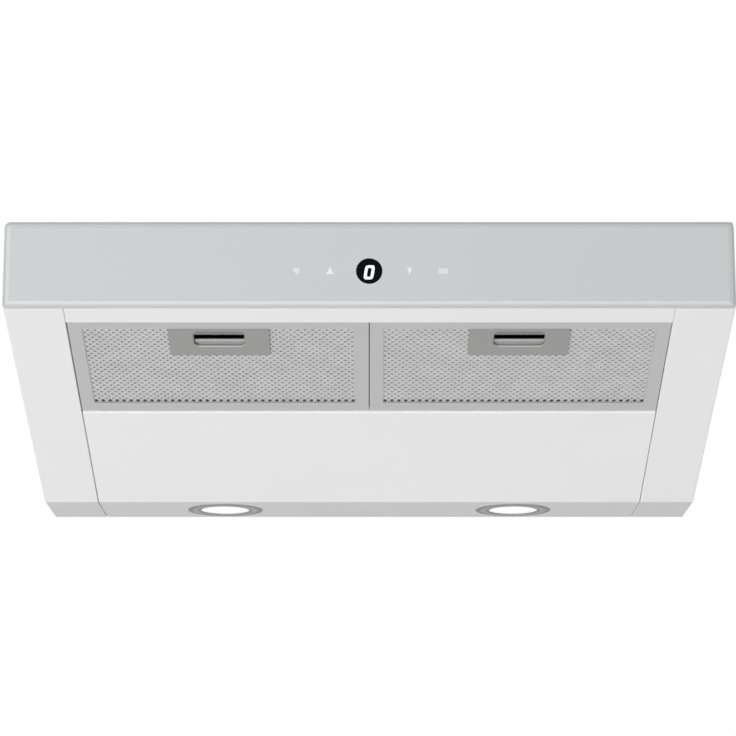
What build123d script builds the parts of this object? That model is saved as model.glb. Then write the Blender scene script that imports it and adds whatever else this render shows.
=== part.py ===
from build123d import *
import os
from math import acos, atan2, ceil, cos, degrees, radians, sin, tan

# Under-cabinet range hood: a wedge of folded white sheet with a glass front, two grease filters
# that drop out of its sloping underside, two lamps behind them and a centrifugal blower inside.
# Millimetres. +X is right seen from the front, +Y goes back to the wall and +Z is up.
# The origin is the middle of the four screw holes in the top face, which hang the hood.

# Body
WIDTH = 598.0               # over the side panels
DEPTH = 405.0               # from the glass face to the wall
HEIGHT = 180.0              # from the top face to the level part of the underside
REAR_FLAT = 85.0            # depth of that level part
SHEET = 1.0                 # steel sheet
PANEL_GAP = 0.75            # gap that shows between panels
FOLD_HEIGHT = 12.0          # folded edges inside the underside
TOP_FOLD = 14.0             # folded edges round the top panel
FOLD_ROUND = 1.0            # outside of the folds beside the filters
RAIL_ROUND = 0.8            # outside of the folds of the rails
FIT = 0.05                  # radial clearance of a shaft, pin or screw
SEAT_GAP = 0.3              # clearance between pieces that move past each other

# Glass front and the tray behind it
GLASS_HEIGHT = 72.0
GLASS_THICK = 5.0
GLASS_DROP = 1.0            # glass below the top face
GLASS_TOP_CORNER = 5.0
GLASS_LOW_CORNER = 2.0
BEVEL_WIDTH = 5.0
BEVEL_DEPTH = 1.2
TAPE_THICK = 0.6
TAPE_WIDTH = 9.0
TRAY_DEPTH = 12.0
TRAY_LIP = 10.5
TRAY_LIFT = 2.0             # tray above the lower edge of the glass
LEAD_HOLE = 7.0             # radius of the hole for the touch board's lead

# Round display and touch board
DISPLAY_DROP = 41.8         # display centre below the top of the glass
DISPLAY_RADIUS = 10.75
LENS_THICK = 2.5
DIGIT_WIDTH = 10.0
DIGIT_HEIGHT = 16.0
BOARD_THICK = 1.6
TOUCH_BOARD_WIDTH = 156.0
TOUCH_BOARD_HEIGHT = 34.0
HOLDER_WALL = 2.0
HOLDER_MARGIN = 4.0         # holder beyond the touch board on each side

# Underside
RAIL_WIDTH = 49.0           # white rail down each side
STRIP_LENGTH = 22.0         # strip in front of the filters, down the slope from the glass
STRIP_RETURN = 8.0          # lip of the strip that is welded under the tray
LEDGE = 6.0                 # folded edge that the latches and hooks of the filters lie on

# Grease filters
FILTER_LENGTH = 144.4
FILTER_THICK = 9.0
FILTER_RECESS = 1.0         # filter face above the white underside
FILTER_BORDER = 11.5        # frame beside the mesh
FILTER_FRONT = 9.3          # frame in front of the mesh
FILTER_REAR = 14.4          # frame behind the mesh
FILTER_SKIN = 0.8
FACE_SKIN = 0.6
HINGE_ROUND = 1.5           # rounded rear edge that the filter turns on
HOOK_WIDTH = 24.0
HOOK_REACH = 4.0
HOOK_SPACING = 150.0
MESH_PITCH_ACROSS = 21.0
MESH_PITCH_ALONG = 13.0
MESH_HOLE_ACROSS = 15.5
MESH_HOLE_ALONG = 9.5
MESH_MARGIN = 3.0           # unbroken sheet beside the frame and the latch

# Filter latches
LATCH_WIDTH = 84.0
LATCH_LENGTH = 39.5
LATCH_OFFSET = 1.9          # latch plate behind the front border of the filter
LATCH_PLATE = 1.3
LATCH_CORNER = 2.0
LATCH_INSET = 3.0           # box inside the edge of the plate
LATCH_FRONT_INSET = 1.2     # box behind the front edge of the plate
LATCH_WALL = 1.2
LATCH_TRAVEL = 5.0
SLOT_WIDTH = 42.0
SLOT_LENGTH = 22.7
SLOT_OFFSET = 3.0           # finger slot behind the front edge of the plate
SLOT_CORNER = 5.0
SLOT_BEVEL = 0.8
SCOOP_LENGTH = 5.5          # ramp that leads the finger into the slot
SCOOP_DEPTH = 0.9
PULL_LENGTH = 4.2           # finger pull that shows in the slot
PULL_THICK = 2.6
PULL_LIFT = 1.8             # pull above the plate and bar behind the slot
PULL_LAP = 1.0              # pull beyond each end of the slot
BOLT_WIDTH = 9.0
BOLT_THICK = 2.0
BOLT_SPACING = 58.0
BOLT_HOLE = 0.5             # room round each bolt
BOLT_BAR = 4.0              # length of the bar that joins the bolts
SPRING_THICK = 0.5
SPRING_WIDTH = 3.0
SPRING_SPAN = 30.0

# Lamps
LAMP_SPACING = 270.0
LAMP_SETBACK = 41.0         # lamp axis in front of the wall
LAMP_RIM_RADIUS = 35.0
LAMP_RIM = 0.7
LAMP_RIM_EDGE = 0.4
LAMP_RIM_FLAT = 31.0        # radius where the slope of the rim starts
LAMP_GLOW_RADIUS = 22.75
LAMP_TUBE_RADIUS = 30.8
LAMP_TUBE_WALL = 2.3
LAMP_TUBE = 14.0
LAMP_SIDES = 24             # flats round the hidden part of a lamp
LAMP_LENS = 2.0
LAMP_BASE = 6.0
LAMP_CORE = 12.0            # half the width of the core
LAMP_FIN_REACH = 21.0
LAMP_SINK = 18.0
LAMP_FINS = 5
LAMP_FIN_THICK = 1.6
CLIP_THICK = 0.6
CLIP_WIDTH = 12.0
CLIP_REACH = 9.0

# Blower
IMPELLER_RADIUS = 52.0
IMPELLER_WIDTH = 100.0
BLADE_DEPTH = 9.0
BLADE_COUNT = 20
BLADE_THICK = 1.0
BLADE_LEAD = 11.0           # degrees that a blade's tip runs ahead of its root
BLADE_BOW = 1.6             # degrees that its middle falls behind the straight line
RING_THICK = 3.0
DISC_THICK = 2.0
HUB_RADIUS = 9.0
HUB_LENGTH = 14.0
SHAFT_RADIUS = 4.0
SCROLL_WALL = 2.0
TONGUE_ANGLE = 95.0
TONGUE_GAP = 5.0            # scroll from the impeller at the tongue
SCROLL_GROWTH = 13.0        # how much further out the scroll is at the outlet
SCROLL_SIDE_GAP = 5.0
SCROLL_FLANGE = 28.0
SCROLL_FLANGE_THICK = 3.0
BLOWER_DROP = 72.0          # blower axis below the top face
INLET_RADIUS = 44.0
GUARD_THICK = 2.5
GUARD_RIM = 7.0
GUARD_BAR = 2.0
GUARD_BARS = 6

# Motor
MOTOR_RADIUS = 32.0
MOTOR_LENGTH = 49.0
MOTOR_EDGE = 4.0
BEARING_RADIUS = 8.0
BEARING_LENGTH = 8.0
MOTOR_CAP = 2.0             # end wall behind the rear bearing
BRACKET_THICK = 2.5
BRACKET_RING = 24.0         # outer radius of the bracket's middle
BRACKET_ARM = 12.0
BRACKET_REACH = 54.0        # radius of the arm's eyes
BRACKET_ARMS = 3
BRACKET_TURN = 30.0         # first arm, up from level
BUSH_RADIUS = 4.0
BUSH_FLANGE = 1.0
BUSH_FLANGE_RADIUS = 6.0

# Duct collar and its flaps
COLLAR_RADIUS = 60.0
COLLAR_WALL = 2.0
COLLAR_HEIGHT = 38.0
COLLAR_FLANGE = 3.0
COLLAR_FLANGE_HALF = 66.0
COLLAR_MARGIN = 6.0         # collar flange in front of the folded edge of the back
FLAP_HEIGHT = 12.0          # flap pin above the top face
FLAP_THICK = 1.2
FLAP_GAP = 1.2
FLAP_PIN_RADIUS = 1.5
KNUCKLE_RADIUS = 3.0
KNUCKLE_LENGTH = 44.0
KNUCKLE_GAP = 1.0           # knuckle from the middle of the pin
STOP_WIDTH = 4.0
STOP_LENGTH = 5.0
STOP_HEIGHT = 2.0
SEAT_LENGTH = 4.0           # slotted seat for each end of the pin

# Electrics
CONTROL_X = 185.0           # middle of the control box
CONTROL_Y = 30.0
CONTROL_WIDTH = 96.0
CONTROL_LENGTH = 110.0
CONTROL_HEIGHT = 34.0
CONTROL_WALL = 2.0
CONTROL_LID = 2.0
CONTROL_EAR = 9.0
POST_HALF = 3.0
DRIVER_X = -190.0           # middle of the lamp driver
DRIVER_Y = 30.0
DRIVER_WIDTH = 42.0
DRIVER_LENGTH = 96.0
DRIVER_HEIGHT = 24.0
DRIVER_EDGE = 3.0
CAPACITOR_X = 105.0
CAPACITOR_Y = 10.0
CAPACITOR_RADIUS = 15.0
CAPACITOR_LENGTH = 58.0
CAPACITOR_TAG = 1.0
STRAP_THICK = 1.0
STRAP_WIDTH = 14.0
STRAP_FOOT = 9.0
TERMINAL_X = 180.0
TERMINAL_Y = 120.0
TERMINAL_WIDTH = 36.0
TERMINAL_LENGTH = 18.0
TERMINAL_HEIGHT = 16.0
TERMINAL_POLES = 3
TERMINAL_WELL = 3.0
GLAND_X = 215.0
GLAND_Y = 165.0
GLAND_BORE = 4.0
GLAND_THREAD = 8.0
GLAND_HEAD = 12.0           # across its corners, as a radius
GLAND_HEAD_HEIGHT = 14.0
GLAND_EDGE = 1.0
GLAND_NUT = 5.0
GLAND_TAIL = 12.0
LEAD_RADIUS = 2.5
LEAD_SIDES = 4
LEAD_BEND = 10.0
LEAD_ROOM = 14.0            # touch lead behind the tray
LEAD_SPREAD = 30.0          # leads to either side of the middle of the box they enter
LEAD_DEPTH = 12.0           # leads to the lamps below the top panel
LEAD_LAYER = 7.0            # one layer of leads below another
LEAD_BACK = 25.0            # lead along the back, behind the lamps

# Fasteners and mounting holes
MOUNT_SPAN_X = 510.0
MOUNT_SPAN_Y = 280.0
MOUNT_HOLE = 3.0
WALL_SPAN = 400.0
WALL_DROP = 45.0
SCREW_RADIUS = 2.0
SCREW_HEAD = 4.0            # to the corners of the hexagon
SCREW_HEAD_HEIGHT = 2.0

# Places that follow from these
y_front = -DEPTH / 2
y_back = DEPTH / 2
y_glass = y_front + GLASS_THICK
y_body = y_glass + TAPE_THICK
y_tray = y_body + TRAY_DEPTH
y_inner = y_back - SHEET
y_break = y_back - REAR_FLAT
x_side = WIDTH / 2 - SHEET
x_open = WIDTH / 2 - RAIL_WIDTH
z_glass = -GLASS_DROP - GLASS_HEIGHT
z_tray = z_glass + TRAY_LIFT
z_display = -GLASS_DROP - DISPLAY_DROP
angle = atan2(HEIGHT + z_glass, y_break - y_body)
slope = Plane(origin=(0, y_body, z_glass), x_dir=(1, 0, 0), z_dir=(0, sin(angle), cos(angle)))
s_rail_fold = (y_tray + SEAT_GAP - y_body) / cos(angle)
s_filter = STRIP_LENGTH + PANEL_GAP
s_panel = s_filter + FILTER_LENGTH + PANEL_GAP
s_break = (y_break - y_body) / cos(angle)
panel_half = x_open - PANEL_GAP
strip_half = x_open - SEAT_GAP
filter_width = x_open - PANEL_GAP * 3 / 2
filter_x = (PANEL_GAP + filter_width) / 2
lamp_y = y_back - LAMP_SETBACK
collar_y = y_inner - SHEET - COLLAR_MARGIN - COLLAR_FLANGE_HALF
collar_bore = COLLAR_RADIUS - COLLAR_WALL
tongue_radius = IMPELLER_RADIUS + TONGUE_GAP
outlet_radius = tongue_radius + SCROLL_GROWTH
mouth_front = tongue_radius * cos(radians(TONGUE_ANGLE))
blower_y = collar_y - (outlet_radius + mouth_front) / 2
blower = Pos(0, blower_y, -BLOWER_DROP)
scroll_inside = IMPELLER_WIDTH / 2 + SCROLL_SIDE_GAP
scroll_half = scroll_inside + SCROLL_WALL
bracket_x = scroll_half + BUSH_FLANGE
window_front = FILTER_FRONT
window_back = FILTER_LENGTH - FILTER_REAR
latch_front = window_front + LATCH_OFFSET
latch_box_x = LATCH_WIDTH / 2 - LATCH_INSET
latch_box_front = latch_front + LATCH_FRONT_INSET
latch_box_back = latch_front + LATCH_LENGTH - LATCH_INSET
screw_hole = SCREW_RADIUS + FIT
PAST = 1.0                  # how far a cut runs past the face it opens


def block(x, y, z):
    """A box between the two limits on each axis."""
    return Pos(sum(x) / 2, sum(y) / 2, sum(z) / 2) * Box(x[1] - x[0], y[1] - y[0], z[1] - z[0])


def both(half):
    """The two limits of something centred on zero."""
    return (-half, half)


def around(middle, size):
    """The two limits of something centred on a middle."""
    return (middle - size / 2, middle + size / 2)


def bar_x(points, x):
    """A (y, z) outline carried along X between two limits."""
    outline = make_face(Polyline(*points, close=True))
    return extrude(Plane.YZ.offset(x[0]) * outline, x[1] - x[0])


def rod(radius, z):
    """An upright cylinder between two heights."""
    return Pos(0, 0, sum(z) / 2) * Cylinder(radius, z[1] - z[0])


def rod_x(radius, x):
    """A cylinder along X between two limits."""
    return Pos(sum(x) / 2, 0, 0) * Rot(0, 90, 0) * Cylinder(radius, x[1] - x[0])


def turned(points):
    """A solid turned about Z from an (r, z) outline."""
    outline = make_face(Polyline(*[(r, 0, z) for r, z in points], close=True))
    return revolve(outline, Axis.Z)


def slope_point(s, lift):
    """The (y, z) of a point down the slope and above the white underside."""
    place = slope.from_local_coords((0, s, lift))
    return (place.Y, place.Z)


def fold_point(lift):
    """The bend between slope and level underside, at a height above the sheet's outside."""
    return (y_break + lift * (1 / cos(angle) - 1) / tan(angle), lift - HEIGHT)


def underside(start, low, high, end):
    """Outline of a strip of the underside from down the slope to the back."""
    outside = [slope_point(start, low), fold_point(low), (end, low - HEIGHT)]
    inside = [(end, high - HEIGHT), fold_point(high), slope_point(start, high)]
    return outside + inside


def slope_bar(s, lift, x):
    """A straight piece across the slope."""
    return slope.location * block(x, s, lift)


def prism(radius, sides, z):
    """Upright bar of flat sides, its radius to the corners."""
    return extrude(Pos(0, 0, z[0]) * RegularPolygon(radius, sides), z[1] - z[0])


def hexagon(radius, z):
    """Upright six-sided bar, its radius to the corners."""
    return prism(radius, 6, z)


def nearest_edges(shape, points):
    """The edges of a shape that pass closest to some points."""
    return [shape.edges().sort_by_distance(point)[0] for point in points]


def screw(length):
    """Hexagon head on Z = 0 with a six-sided shank below."""
    return hexagon(SCREW_HEAD, (0, SCREW_HEAD_HEIGHT)) + hexagon(SCREW_RADIUS, (-length, 0))


def screw_way(z):
    """Room for a screw's shank."""
    return hexagon(screw_hole, z)


def screw_way_x(x):
    """Room for a screw's shank along X."""
    return Rot(0, 90, 0) * screw_way(x)


# Where fasteners go, as (x, y) or (y, z)
mount_places = [(x, y) for x in both(MOUNT_SPAN_X / 2) for y in both(MOUNT_SPAN_Y / 2)]
panel_screw_lift = FOLD_HEIGHT * 2 / 3
panel_screw_places = [
    slope_point(s_panel + FOLD_HEIGHT * 2, panel_screw_lift),
    (lamp_y, panel_screw_lift - HEIGHT),
]
collar_screw = COLLAR_FLANGE_HALF - 2 * SCREW_HEAD
collar_screw_places = [(x, collar_y + y) for x in both(collar_screw) for y in both(collar_screw)]
flange_x = scroll_half + SCROLL_FLANGE
flange_front = blower_y + mouth_front - SCROLL_WALL - SCROLL_FLANGE
flange_back = blower_y + outlet_radius + SCROLL_WALL + SCROLL_FLANGE
control_ear_y = CONTROL_LENGTH / 2 + CONTROL_EAR / 2
control_screw_places = [(CONTROL_X, y) for y in around(CONTROL_Y, 2 * control_ear_y)]
strap_foot = CAPACITOR_RADIUS + STRAP_THICK + STRAP_FOOT


def top_panel():
    """Flat top with its edges folded down, holed for the duct, the screws and the supply cable."""
    panel = block(both(x_side), (y_tray, y_inner), (-TOP_FOLD, 0))
    panel -= block(both(x_side - SHEET), (y_tray + SHEET, y_inner - SHEET), (-TOP_FOLD - PAST, -SHEET))
    through = (-SHEET - PAST, PAST)
    panel -= Pos(0, collar_y) * rod(collar_bore, through)
    panel -= Pos(GLAND_X, GLAND_Y) * hexagon(GLAND_THREAD + FIT, through)
    panel -= [Pos(x, y) * rod(MOUNT_HOLE, through) for x, y in mount_places]
    small = screw_way(through)
    panel -= [Pos(x, y) * small for x, y in control_screw_places + collar_screw_places]
    return panel


def back_panel():
    """Flat back with two holes for the wall screws."""
    panel = block(both(x_side), (y_inner, y_back), (-HEIGHT, 0))
    wall_hole = Pos(0, y_inner, 0) * Rot(90, 0, 0) * Cylinder(MOUNT_HOLE, 2 * (SHEET + PAST))
    panel -= [Pos(x, 0, -WALL_DROP) * wall_hole for x in both(WALL_SPAN / 2)]
    return panel


def side_panel():
    """Right-hand wall with the white rail folded in along the underside and up at its inner edge."""
    wall_outline = [(y_body, 0), (y_back, 0), (y_back, -HEIGHT), fold_point(0), slope_point(0, 0)]
    panel = bar_x(wall_outline, (x_side, WIDTH / 2))
    panel += bar_x(underside(0, 0, SHEET, y_inner), (x_open, x_side))
    panel += bar_x(underside(s_rail_fold, 0, FOLD_HEIGHT, y_inner), (x_open, x_open + SHEET))
    middles = [slope_point(s_break / 2, 0), ((y_break + y_inner) / 2, -HEIGHT)]
    folds = [(x, y, z) for x in (WIDTH / 2, x_open) for y, z in middles]
    panel = fillet(nearest_edges(panel, folds), RAIL_ROUND)
    screwed = screw_way_x((x_open - PAST, x_open + SHEET + PAST))
    panel -= [Pos(0, y, z) * screwed for y, z in panel_screw_places]
    return panel


def front_tray():
    """Shallow folded tray behind the glass, with lips turned in for the tape."""
    tray = block(both(x_side), (y_body, y_tray), (z_tray, 0))
    tray -= block(both(x_side - SHEET), (y_body + SHEET, y_tray - SHEET), (z_tray + SHEET, -SHEET))
    lips = (z_tray + TRAY_LIP, -TRAY_LIP)
    tray -= block(both(x_side - TRAY_LIP), (y_body - PAST, y_body + SHEET + PAST), lips)
    tray -= Pos(0, y_tray, z_display) * Rot(90, 0, 0) * Cylinder(LEAD_HOLE, 2 * (SHEET + PAST))
    return tray


def glass_tape():
    """Two strips of tape between the tray's lips and the glass."""
    low = z_tray + (TRAY_LIP - TAPE_WIDTH) / 2
    high = -GLASS_DROP - (TRAY_LIP - TAPE_WIDTH) / 2
    x = both(x_side - TRAY_LIP)
    strips = [
        block(x, (y_glass, y_body), (low, low + TAPE_WIDTH)),
        block(x, (y_glass, y_body), (high - TAPE_WIDTH, high)),
    ]
    return Compound(strips)


def glass_outline(y, inset):
    """Face of the glass, drawn in by an inset, with small lower and larger upper corners."""
    width = WIDTH - 2 * inset
    height = GLASS_HEIGHT - 2 * inset
    plate = Rectangle(width, height)
    corners = plate.vertices().sort_by(Axis.Y)
    plate = fillet(corners[2:], GLASS_TOP_CORNER)
    corners = plate.vertices().sort_by(Axis.Y)
    plate = fillet(corners[:2], GLASS_LOW_CORNER)
    middle = (z_glass - GLASS_DROP) / 2
    return Plane(origin=(0, y, middle), x_dir=(1, 0, 0), z_dir=(0, -1, 0)) * plate


def front_glass():
    """Glass plate with a ground bevel all round its face and a hole for the display."""
    plate = extrude(glass_outline(y_glass, 0), GLASS_THICK - BEVEL_DEPTH)
    bevel_faces = [glass_outline(y_front + BEVEL_DEPTH, 0), glass_outline(y_front, BEVEL_WIDTH)]
    plate += loft(bevel_faces, ruled=True)
    hole = Pos(0, y_front, z_display) * Rot(90, 0, 0) * Cylinder(DISPLAY_RADIUS + FIT, 4 * GLASS_THICK)
    return plate - hole


def display_lens():
    """Round black window, flush with the glass."""
    middle = y_front + LENS_THICK / 2
    return Pos(0, middle, z_display) * Rot(90, 0, 0) * Cylinder(DISPLAY_RADIUS, LENS_THICK)


def digit_display():
    """One-digit display between the window and the touch board."""
    z = around(z_display, DIGIT_HEIGHT)
    return block(both(DIGIT_WIDTH / 2), (y_front + LENS_THICK, y_glass), z)


def touch_board():
    """Board against the back of the glass."""
    z = around(z_display, TOUCH_BOARD_HEIGHT)
    return block(both(TOUCH_BOARD_WIDTH / 2), (y_glass, y_glass + BOARD_THICK), z)


def touch_holder():
    """Moulded frame that presses the touch board forward from the tray."""
    back = y_tray - SHEET
    front = y_glass + BOARD_THICK
    wide = TOUCH_BOARD_WIDTH / 2 + HOLDER_MARGIN
    tall = TOUCH_BOARD_HEIGHT + 2 * HOLDER_MARGIN
    inner_wide = wide - HOLDER_MARGIN - HOLDER_WALL
    inner_tall = tall - 2 * HOLDER_MARGIN - 2 * HOLDER_WALL
    frame = block(both(wide), (front, back), around(z_display, tall))
    inside = block(both(inner_wide), (front - PAST, back + PAST), around(z_display, inner_tall))
    edges = frame.edges().filter_by(Axis.Y)
    frame = fillet(edges, HOLDER_MARGIN) - inside
    ribs = [
        block(around(x, HOLDER_WALL), (front, back), around(z_display, inner_tall))
        for x in both(inner_wide / 2)
    ]
    return frame + ribs


def front_crossbar():
    """White strip under the glass, with the ledge for the latches and a lip under the tray."""
    z_lip = (z_tray - SHEET, z_tray)
    x = both(strip_half)
    bar = block(x, (y_body, y_body + STRIP_RETURN), z_lip)
    bar += block(x, (y_body, y_body + SHEET), (z_glass, z_tray))
    bar += slope_bar((0, STRIP_LENGTH), (0, SHEET), x)
    bar += slope_bar((STRIP_LENGTH - SHEET, STRIP_LENGTH), (0, LEDGE), x)
    return fillet(nearest_edges(bar, [(0, *slope_point(STRIP_LENGTH, 0))]), FOLD_ROUND)


def light_panel():
    """Folded sheet behind the filters, with the lamp holes in its level part."""
    panel = bar_x(underside(s_panel, 0, SHEET, y_inner), both(panel_half))
    panel += slope_bar((s_panel, s_panel + SHEET), (0, LEDGE), both(panel_half))
    panel = fillet(nearest_edges(panel, [(0, *slope_point(s_panel, 0))]), FOLD_ROUND)
    side = bar_x(underside(s_panel + LEDGE, 0, FOLD_HEIGHT, y_inner), (panel_half - SHEET, panel_half))
    panel += [side, mirror(side, about=Plane.YZ)]
    panel += block(both(panel_half), (y_inner - SHEET, y_inner), (-HEIGHT, FOLD_HEIGHT - HEIGHT))
    lamp_hole = rod(LAMP_TUBE_RADIUS + SEAT_GAP, (-HEIGHT - PAST, SHEET + PAST - HEIGHT))
    panel -= [Pos(x, lamp_y) * lamp_hole for x in both(LAMP_SPACING / 2)]
    screwed = screw_way_x(both(panel_half + PAST))
    panel -= [Pos(0, y, z) * screwed for y, z in panel_screw_places]
    return panel


def panel_screws():
    """Screws through the folded sides of the light panel into the rails."""
    length = PANEL_GAP + 2 * SHEET
    outward = Pos(panel_half - SHEET, 0, 0) * Rot(0, -90, 0) * screw(length)
    right = [Pos(0, y, z) * outward for y, z in panel_screw_places]
    return Compound(right + [mirror(piece, about=Plane.YZ) for piece in right])


def filter_place(x):
    """Frame of a filter: its front lower edge, down the slope, away from the underside."""
    return slope.location * Pos(x, s_filter, FILTER_RECESS)


bolt_low = LEDGE - FILTER_RECESS + BOLT_HOLE
bolt_high = bolt_low + BOLT_THICK
face_low = FILTER_SKIN
face_high = FILTER_SKIN + FACE_SKIN
core_high = FILTER_THICK - FILTER_SKIN


def filter_frame():
    """Bent channel round the mesh, with hooks at the back and holes for the latch bolts."""
    half = filter_width / 2
    frame = block(both(half), (0, FILTER_LENGTH), (0, FILTER_THICK))
    rear_edges = frame.edges().filter_by(Axis.X).group_by(Axis.Y)[-1]
    frame = fillet(rear_edges.sort_by(Axis.Z)[0], HINGE_ROUND)
    inside_y = (FILTER_SKIN, FILTER_LENGTH - FILTER_SKIN)
    frame -= block(both(half - FILTER_SKIN), inside_y, (FILTER_SKIN, core_high))
    window_x = both(half - FILTER_BORDER)
    frame -= block(window_x, (window_front, window_back), (-PAST, FILTER_THICK + PAST))
    for x in both(BOLT_SPACING / 2):
        hole_z = (bolt_low - BOLT_HOLE, bolt_high + BOLT_HOLE)
        frame -= block(around(x, BOLT_WIDTH + 2 * BOLT_HOLE), (-PAST, FILTER_SKIN + PAST), hole_z)
    hook_low = LEDGE - FILTER_RECESS + SEAT_GAP
    for x in both(HOOK_SPACING / 2):
        hook_y = (FILTER_LENGTH - FILTER_SKIN, FILTER_LENGTH + HOOK_REACH)
        frame += block(around(x, HOOK_WIDTH), hook_y, (hook_low, hook_low + FILTER_SKIN))
    return frame


def mesh_places():
    """Staggered middles of the mesh openings, clear of the frame and of the latch."""
    room_x = filter_width / 2 - FILTER_BORDER - MESH_MARGIN - MESH_HOLE_ACROSS / 2
    room_y = (window_back - window_front) / 2 - MESH_MARGIN - MESH_HOLE_ALONG / 2
    rows = int(room_y // MESH_PITCH_ALONG)
    columns = ceil(room_x / MESH_PITCH_ACROSS)
    latch_x = LATCH_WIDTH / 2 + MESH_MARGIN + MESH_HOLE_ACROSS / 2
    latch_y = latch_front + LATCH_LENGTH + MESH_MARGIN + MESH_HOLE_ALONG / 2
    places = []
    for row in range(-rows, rows + 1):
        y = (window_front + window_back) / 2 + row * MESH_PITCH_ALONG
        for column in range(-columns, columns + 1):
            x = (column + row % 2 / 2) * MESH_PITCH_ACROSS
            if abs(x) <= room_x and not (abs(x) < latch_x and y < latch_y):
                places.append((x, y))
    return places


def filter_face():
    """Expanded sheet that shows from below: diamond openings, and a cut for the latch."""
    inset = FILTER_SKIN + SEAT_GAP
    sheet = Pos(0, FILTER_LENGTH / 2) * Rectangle(filter_width - 2 * inset, FILTER_LENGTH - 2 * inset)
    a = MESH_HOLE_ACROSS / 2
    b = MESH_HOLE_ALONG / 2
    diamond = make_face(Polyline((-a, 0), (0, -b), (a, 0), (0, b), close=True))
    sheet -= [Pos(x, y) * diamond for x, y in mesh_places()]
    latch_cut = latch_clearance(latch_box_front)
    return extrude(Pos(0, 0, face_low) * sheet, FACE_SKIN) - latch_cut


def latch_clearance(front):
    """Room for the latch box, from a given front to just behind it."""
    x = both(latch_box_x + SEAT_GAP)
    return block(x, (front - SEAT_GAP, latch_box_back + SEAT_GAP), (-PAST, FILTER_THICK + PAST))


def filter_core():
    """Pad of mesh layers, open at the front for the latch and its bolts."""
    inset = FILTER_SKIN + SEAT_GAP
    x = both(filter_width / 2 - inset)
    pad = block(x, (inset, FILTER_LENGTH - inset), (face_high, core_high))
    return pad - latch_clearance(-PAST)


def latch_housing():
    """Moulded plate with a scooped finger slot, and a box above it that guides the bolts."""
    plate_y = (latch_front, latch_front + LATCH_LENGTH)
    plate = block(both(LATCH_WIDTH / 2), plate_y, (plate_low, face_low))
    plate = fillet(plate.edges().filter_by(Axis.Z), LATCH_CORNER)
    box = block(both(latch_box_x), (latch_box_front, latch_box_back), (face_low, core_high))
    hollow_x = both(latch_box_x - LATCH_WALL)
    hollow_y = (latch_box_front + LATCH_WALL, latch_box_back - LATCH_WALL)
    box -= block(hollow_x, hollow_y, (face_low - PAST, core_high + PAST))
    for x in both(BOLT_SPACING / 2):
        hole_y = (latch_box_front - PAST, latch_box_front + LATCH_WALL + PAST)
        hole_z = (bolt_low - SEAT_GAP, core_high + PAST)
        box -= block(around(x, BOLT_WIDTH + 2 * SEAT_GAP), hole_y, hole_z)
    slot = extrude(slot_outline(plate_low, 0), FILTER_THICK)
    slot += loft([slot_outline(plate_low, SLOT_BEVEL), slot_outline(plate_low + SLOT_BEVEL, 0)], ruled=True)
    ramp = [
        (slot_front - SLOT_BEVEL, plate_low),
        (slot_front + SCOOP_LENGTH, plate_low + SCOOP_DEPTH),
        (slot_front + SCOOP_LENGTH, face_low),
        (slot_front - SLOT_BEVEL, face_low),
    ]
    return plate + box - (slot - bar_x(ramp, both(SLOT_WIDTH)))


def slot_outline(z, grow):
    """Rounded outline of the finger slot at a height, drawn larger by a margin."""
    outline = RectangleRounded(SLOT_WIDTH + 2 * grow, SLOT_LENGTH + 2 * grow, SLOT_CORNER + grow)
    return Pos(0, (slot_front + slot_back) / 2, z) * outline


plate_low = face_low - LATCH_PLATE
slot_front = latch_front + SLOT_OFFSET
slot_back = slot_front + SLOT_LENGTH
bar_front = slot_back + PULL_LIFT
bar_back = bar_front + BOLT_BAR
spring_room = latch_box_back - LATCH_WALL - bar_back
pull_low = face_low + SEAT_GAP


def latch_slide():
    """Bar with two bolts that point forward and a curved pull for the finger."""
    bar_half = BOLT_SPACING / 2 + BOLT_WIDTH / 2
    slide = block(both(bar_half), (bar_front, bar_back), (pull_low, bolt_high))
    for x in both(BOLT_SPACING / 2):
        slide += block(around(x, BOLT_WIDTH), (SEAT_GAP, bar_front), (bolt_low, bolt_high))
    front = slot_back - PULL_LENGTH
    tip = front + PULL_THICK / 2
    low = pull_low + PULL_LIFT
    top = low + PULL_THICK
    edges = [
        Line((bar_front, low), (tip, low)),
        ThreePointArc((tip, low), (front, low + PULL_THICK / 2), (tip, top)),
        ThreePointArc((tip, top), (bar_front - PULL_LENGTH / 4, top + BOLT_THICK / 3), (bar_front, bolt_high)),
        Line((bar_front, bolt_high), (bar_front, low)),
    ]
    pull_half = SLOT_WIDTH / 2 + PULL_LAP
    outline = Plane.YZ.offset(-pull_half) * make_face(edges)
    return slide + extrude(outline, 2 * pull_half)


def latch_spring():
    """Bent leaf between the bar and the back of the latch box."""
    back = bar_back + spring_room - SEAT_GAP
    front = bar_back + SEAT_GAP
    half = SPRING_SPAN / 2
    ahead = [(-half, back), (0, front), (half, back)]
    behind = [(half - SPRING_THICK, back), (0, front + SPRING_THICK), (SPRING_THICK - half, back)]
    leaf = make_face(Polyline(*ahead, *behind, close=True))
    middle = (pull_low + bolt_high) / 2
    return extrude(Pos(0, 0, middle - SPRING_WIDTH / 2) * leaf, SPRING_WIDTH)


def lamp_place(x):
    return Pos(x, lamp_y, -HEIGHT)


lens_seat = 0.0
lens_radius = LAMP_TUBE_RADIUS - LAMP_TUBE_WALL - FIT
lens_top = lens_seat + LAMP_LENS
sink_low = lens_top + LAMP_BASE


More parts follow.
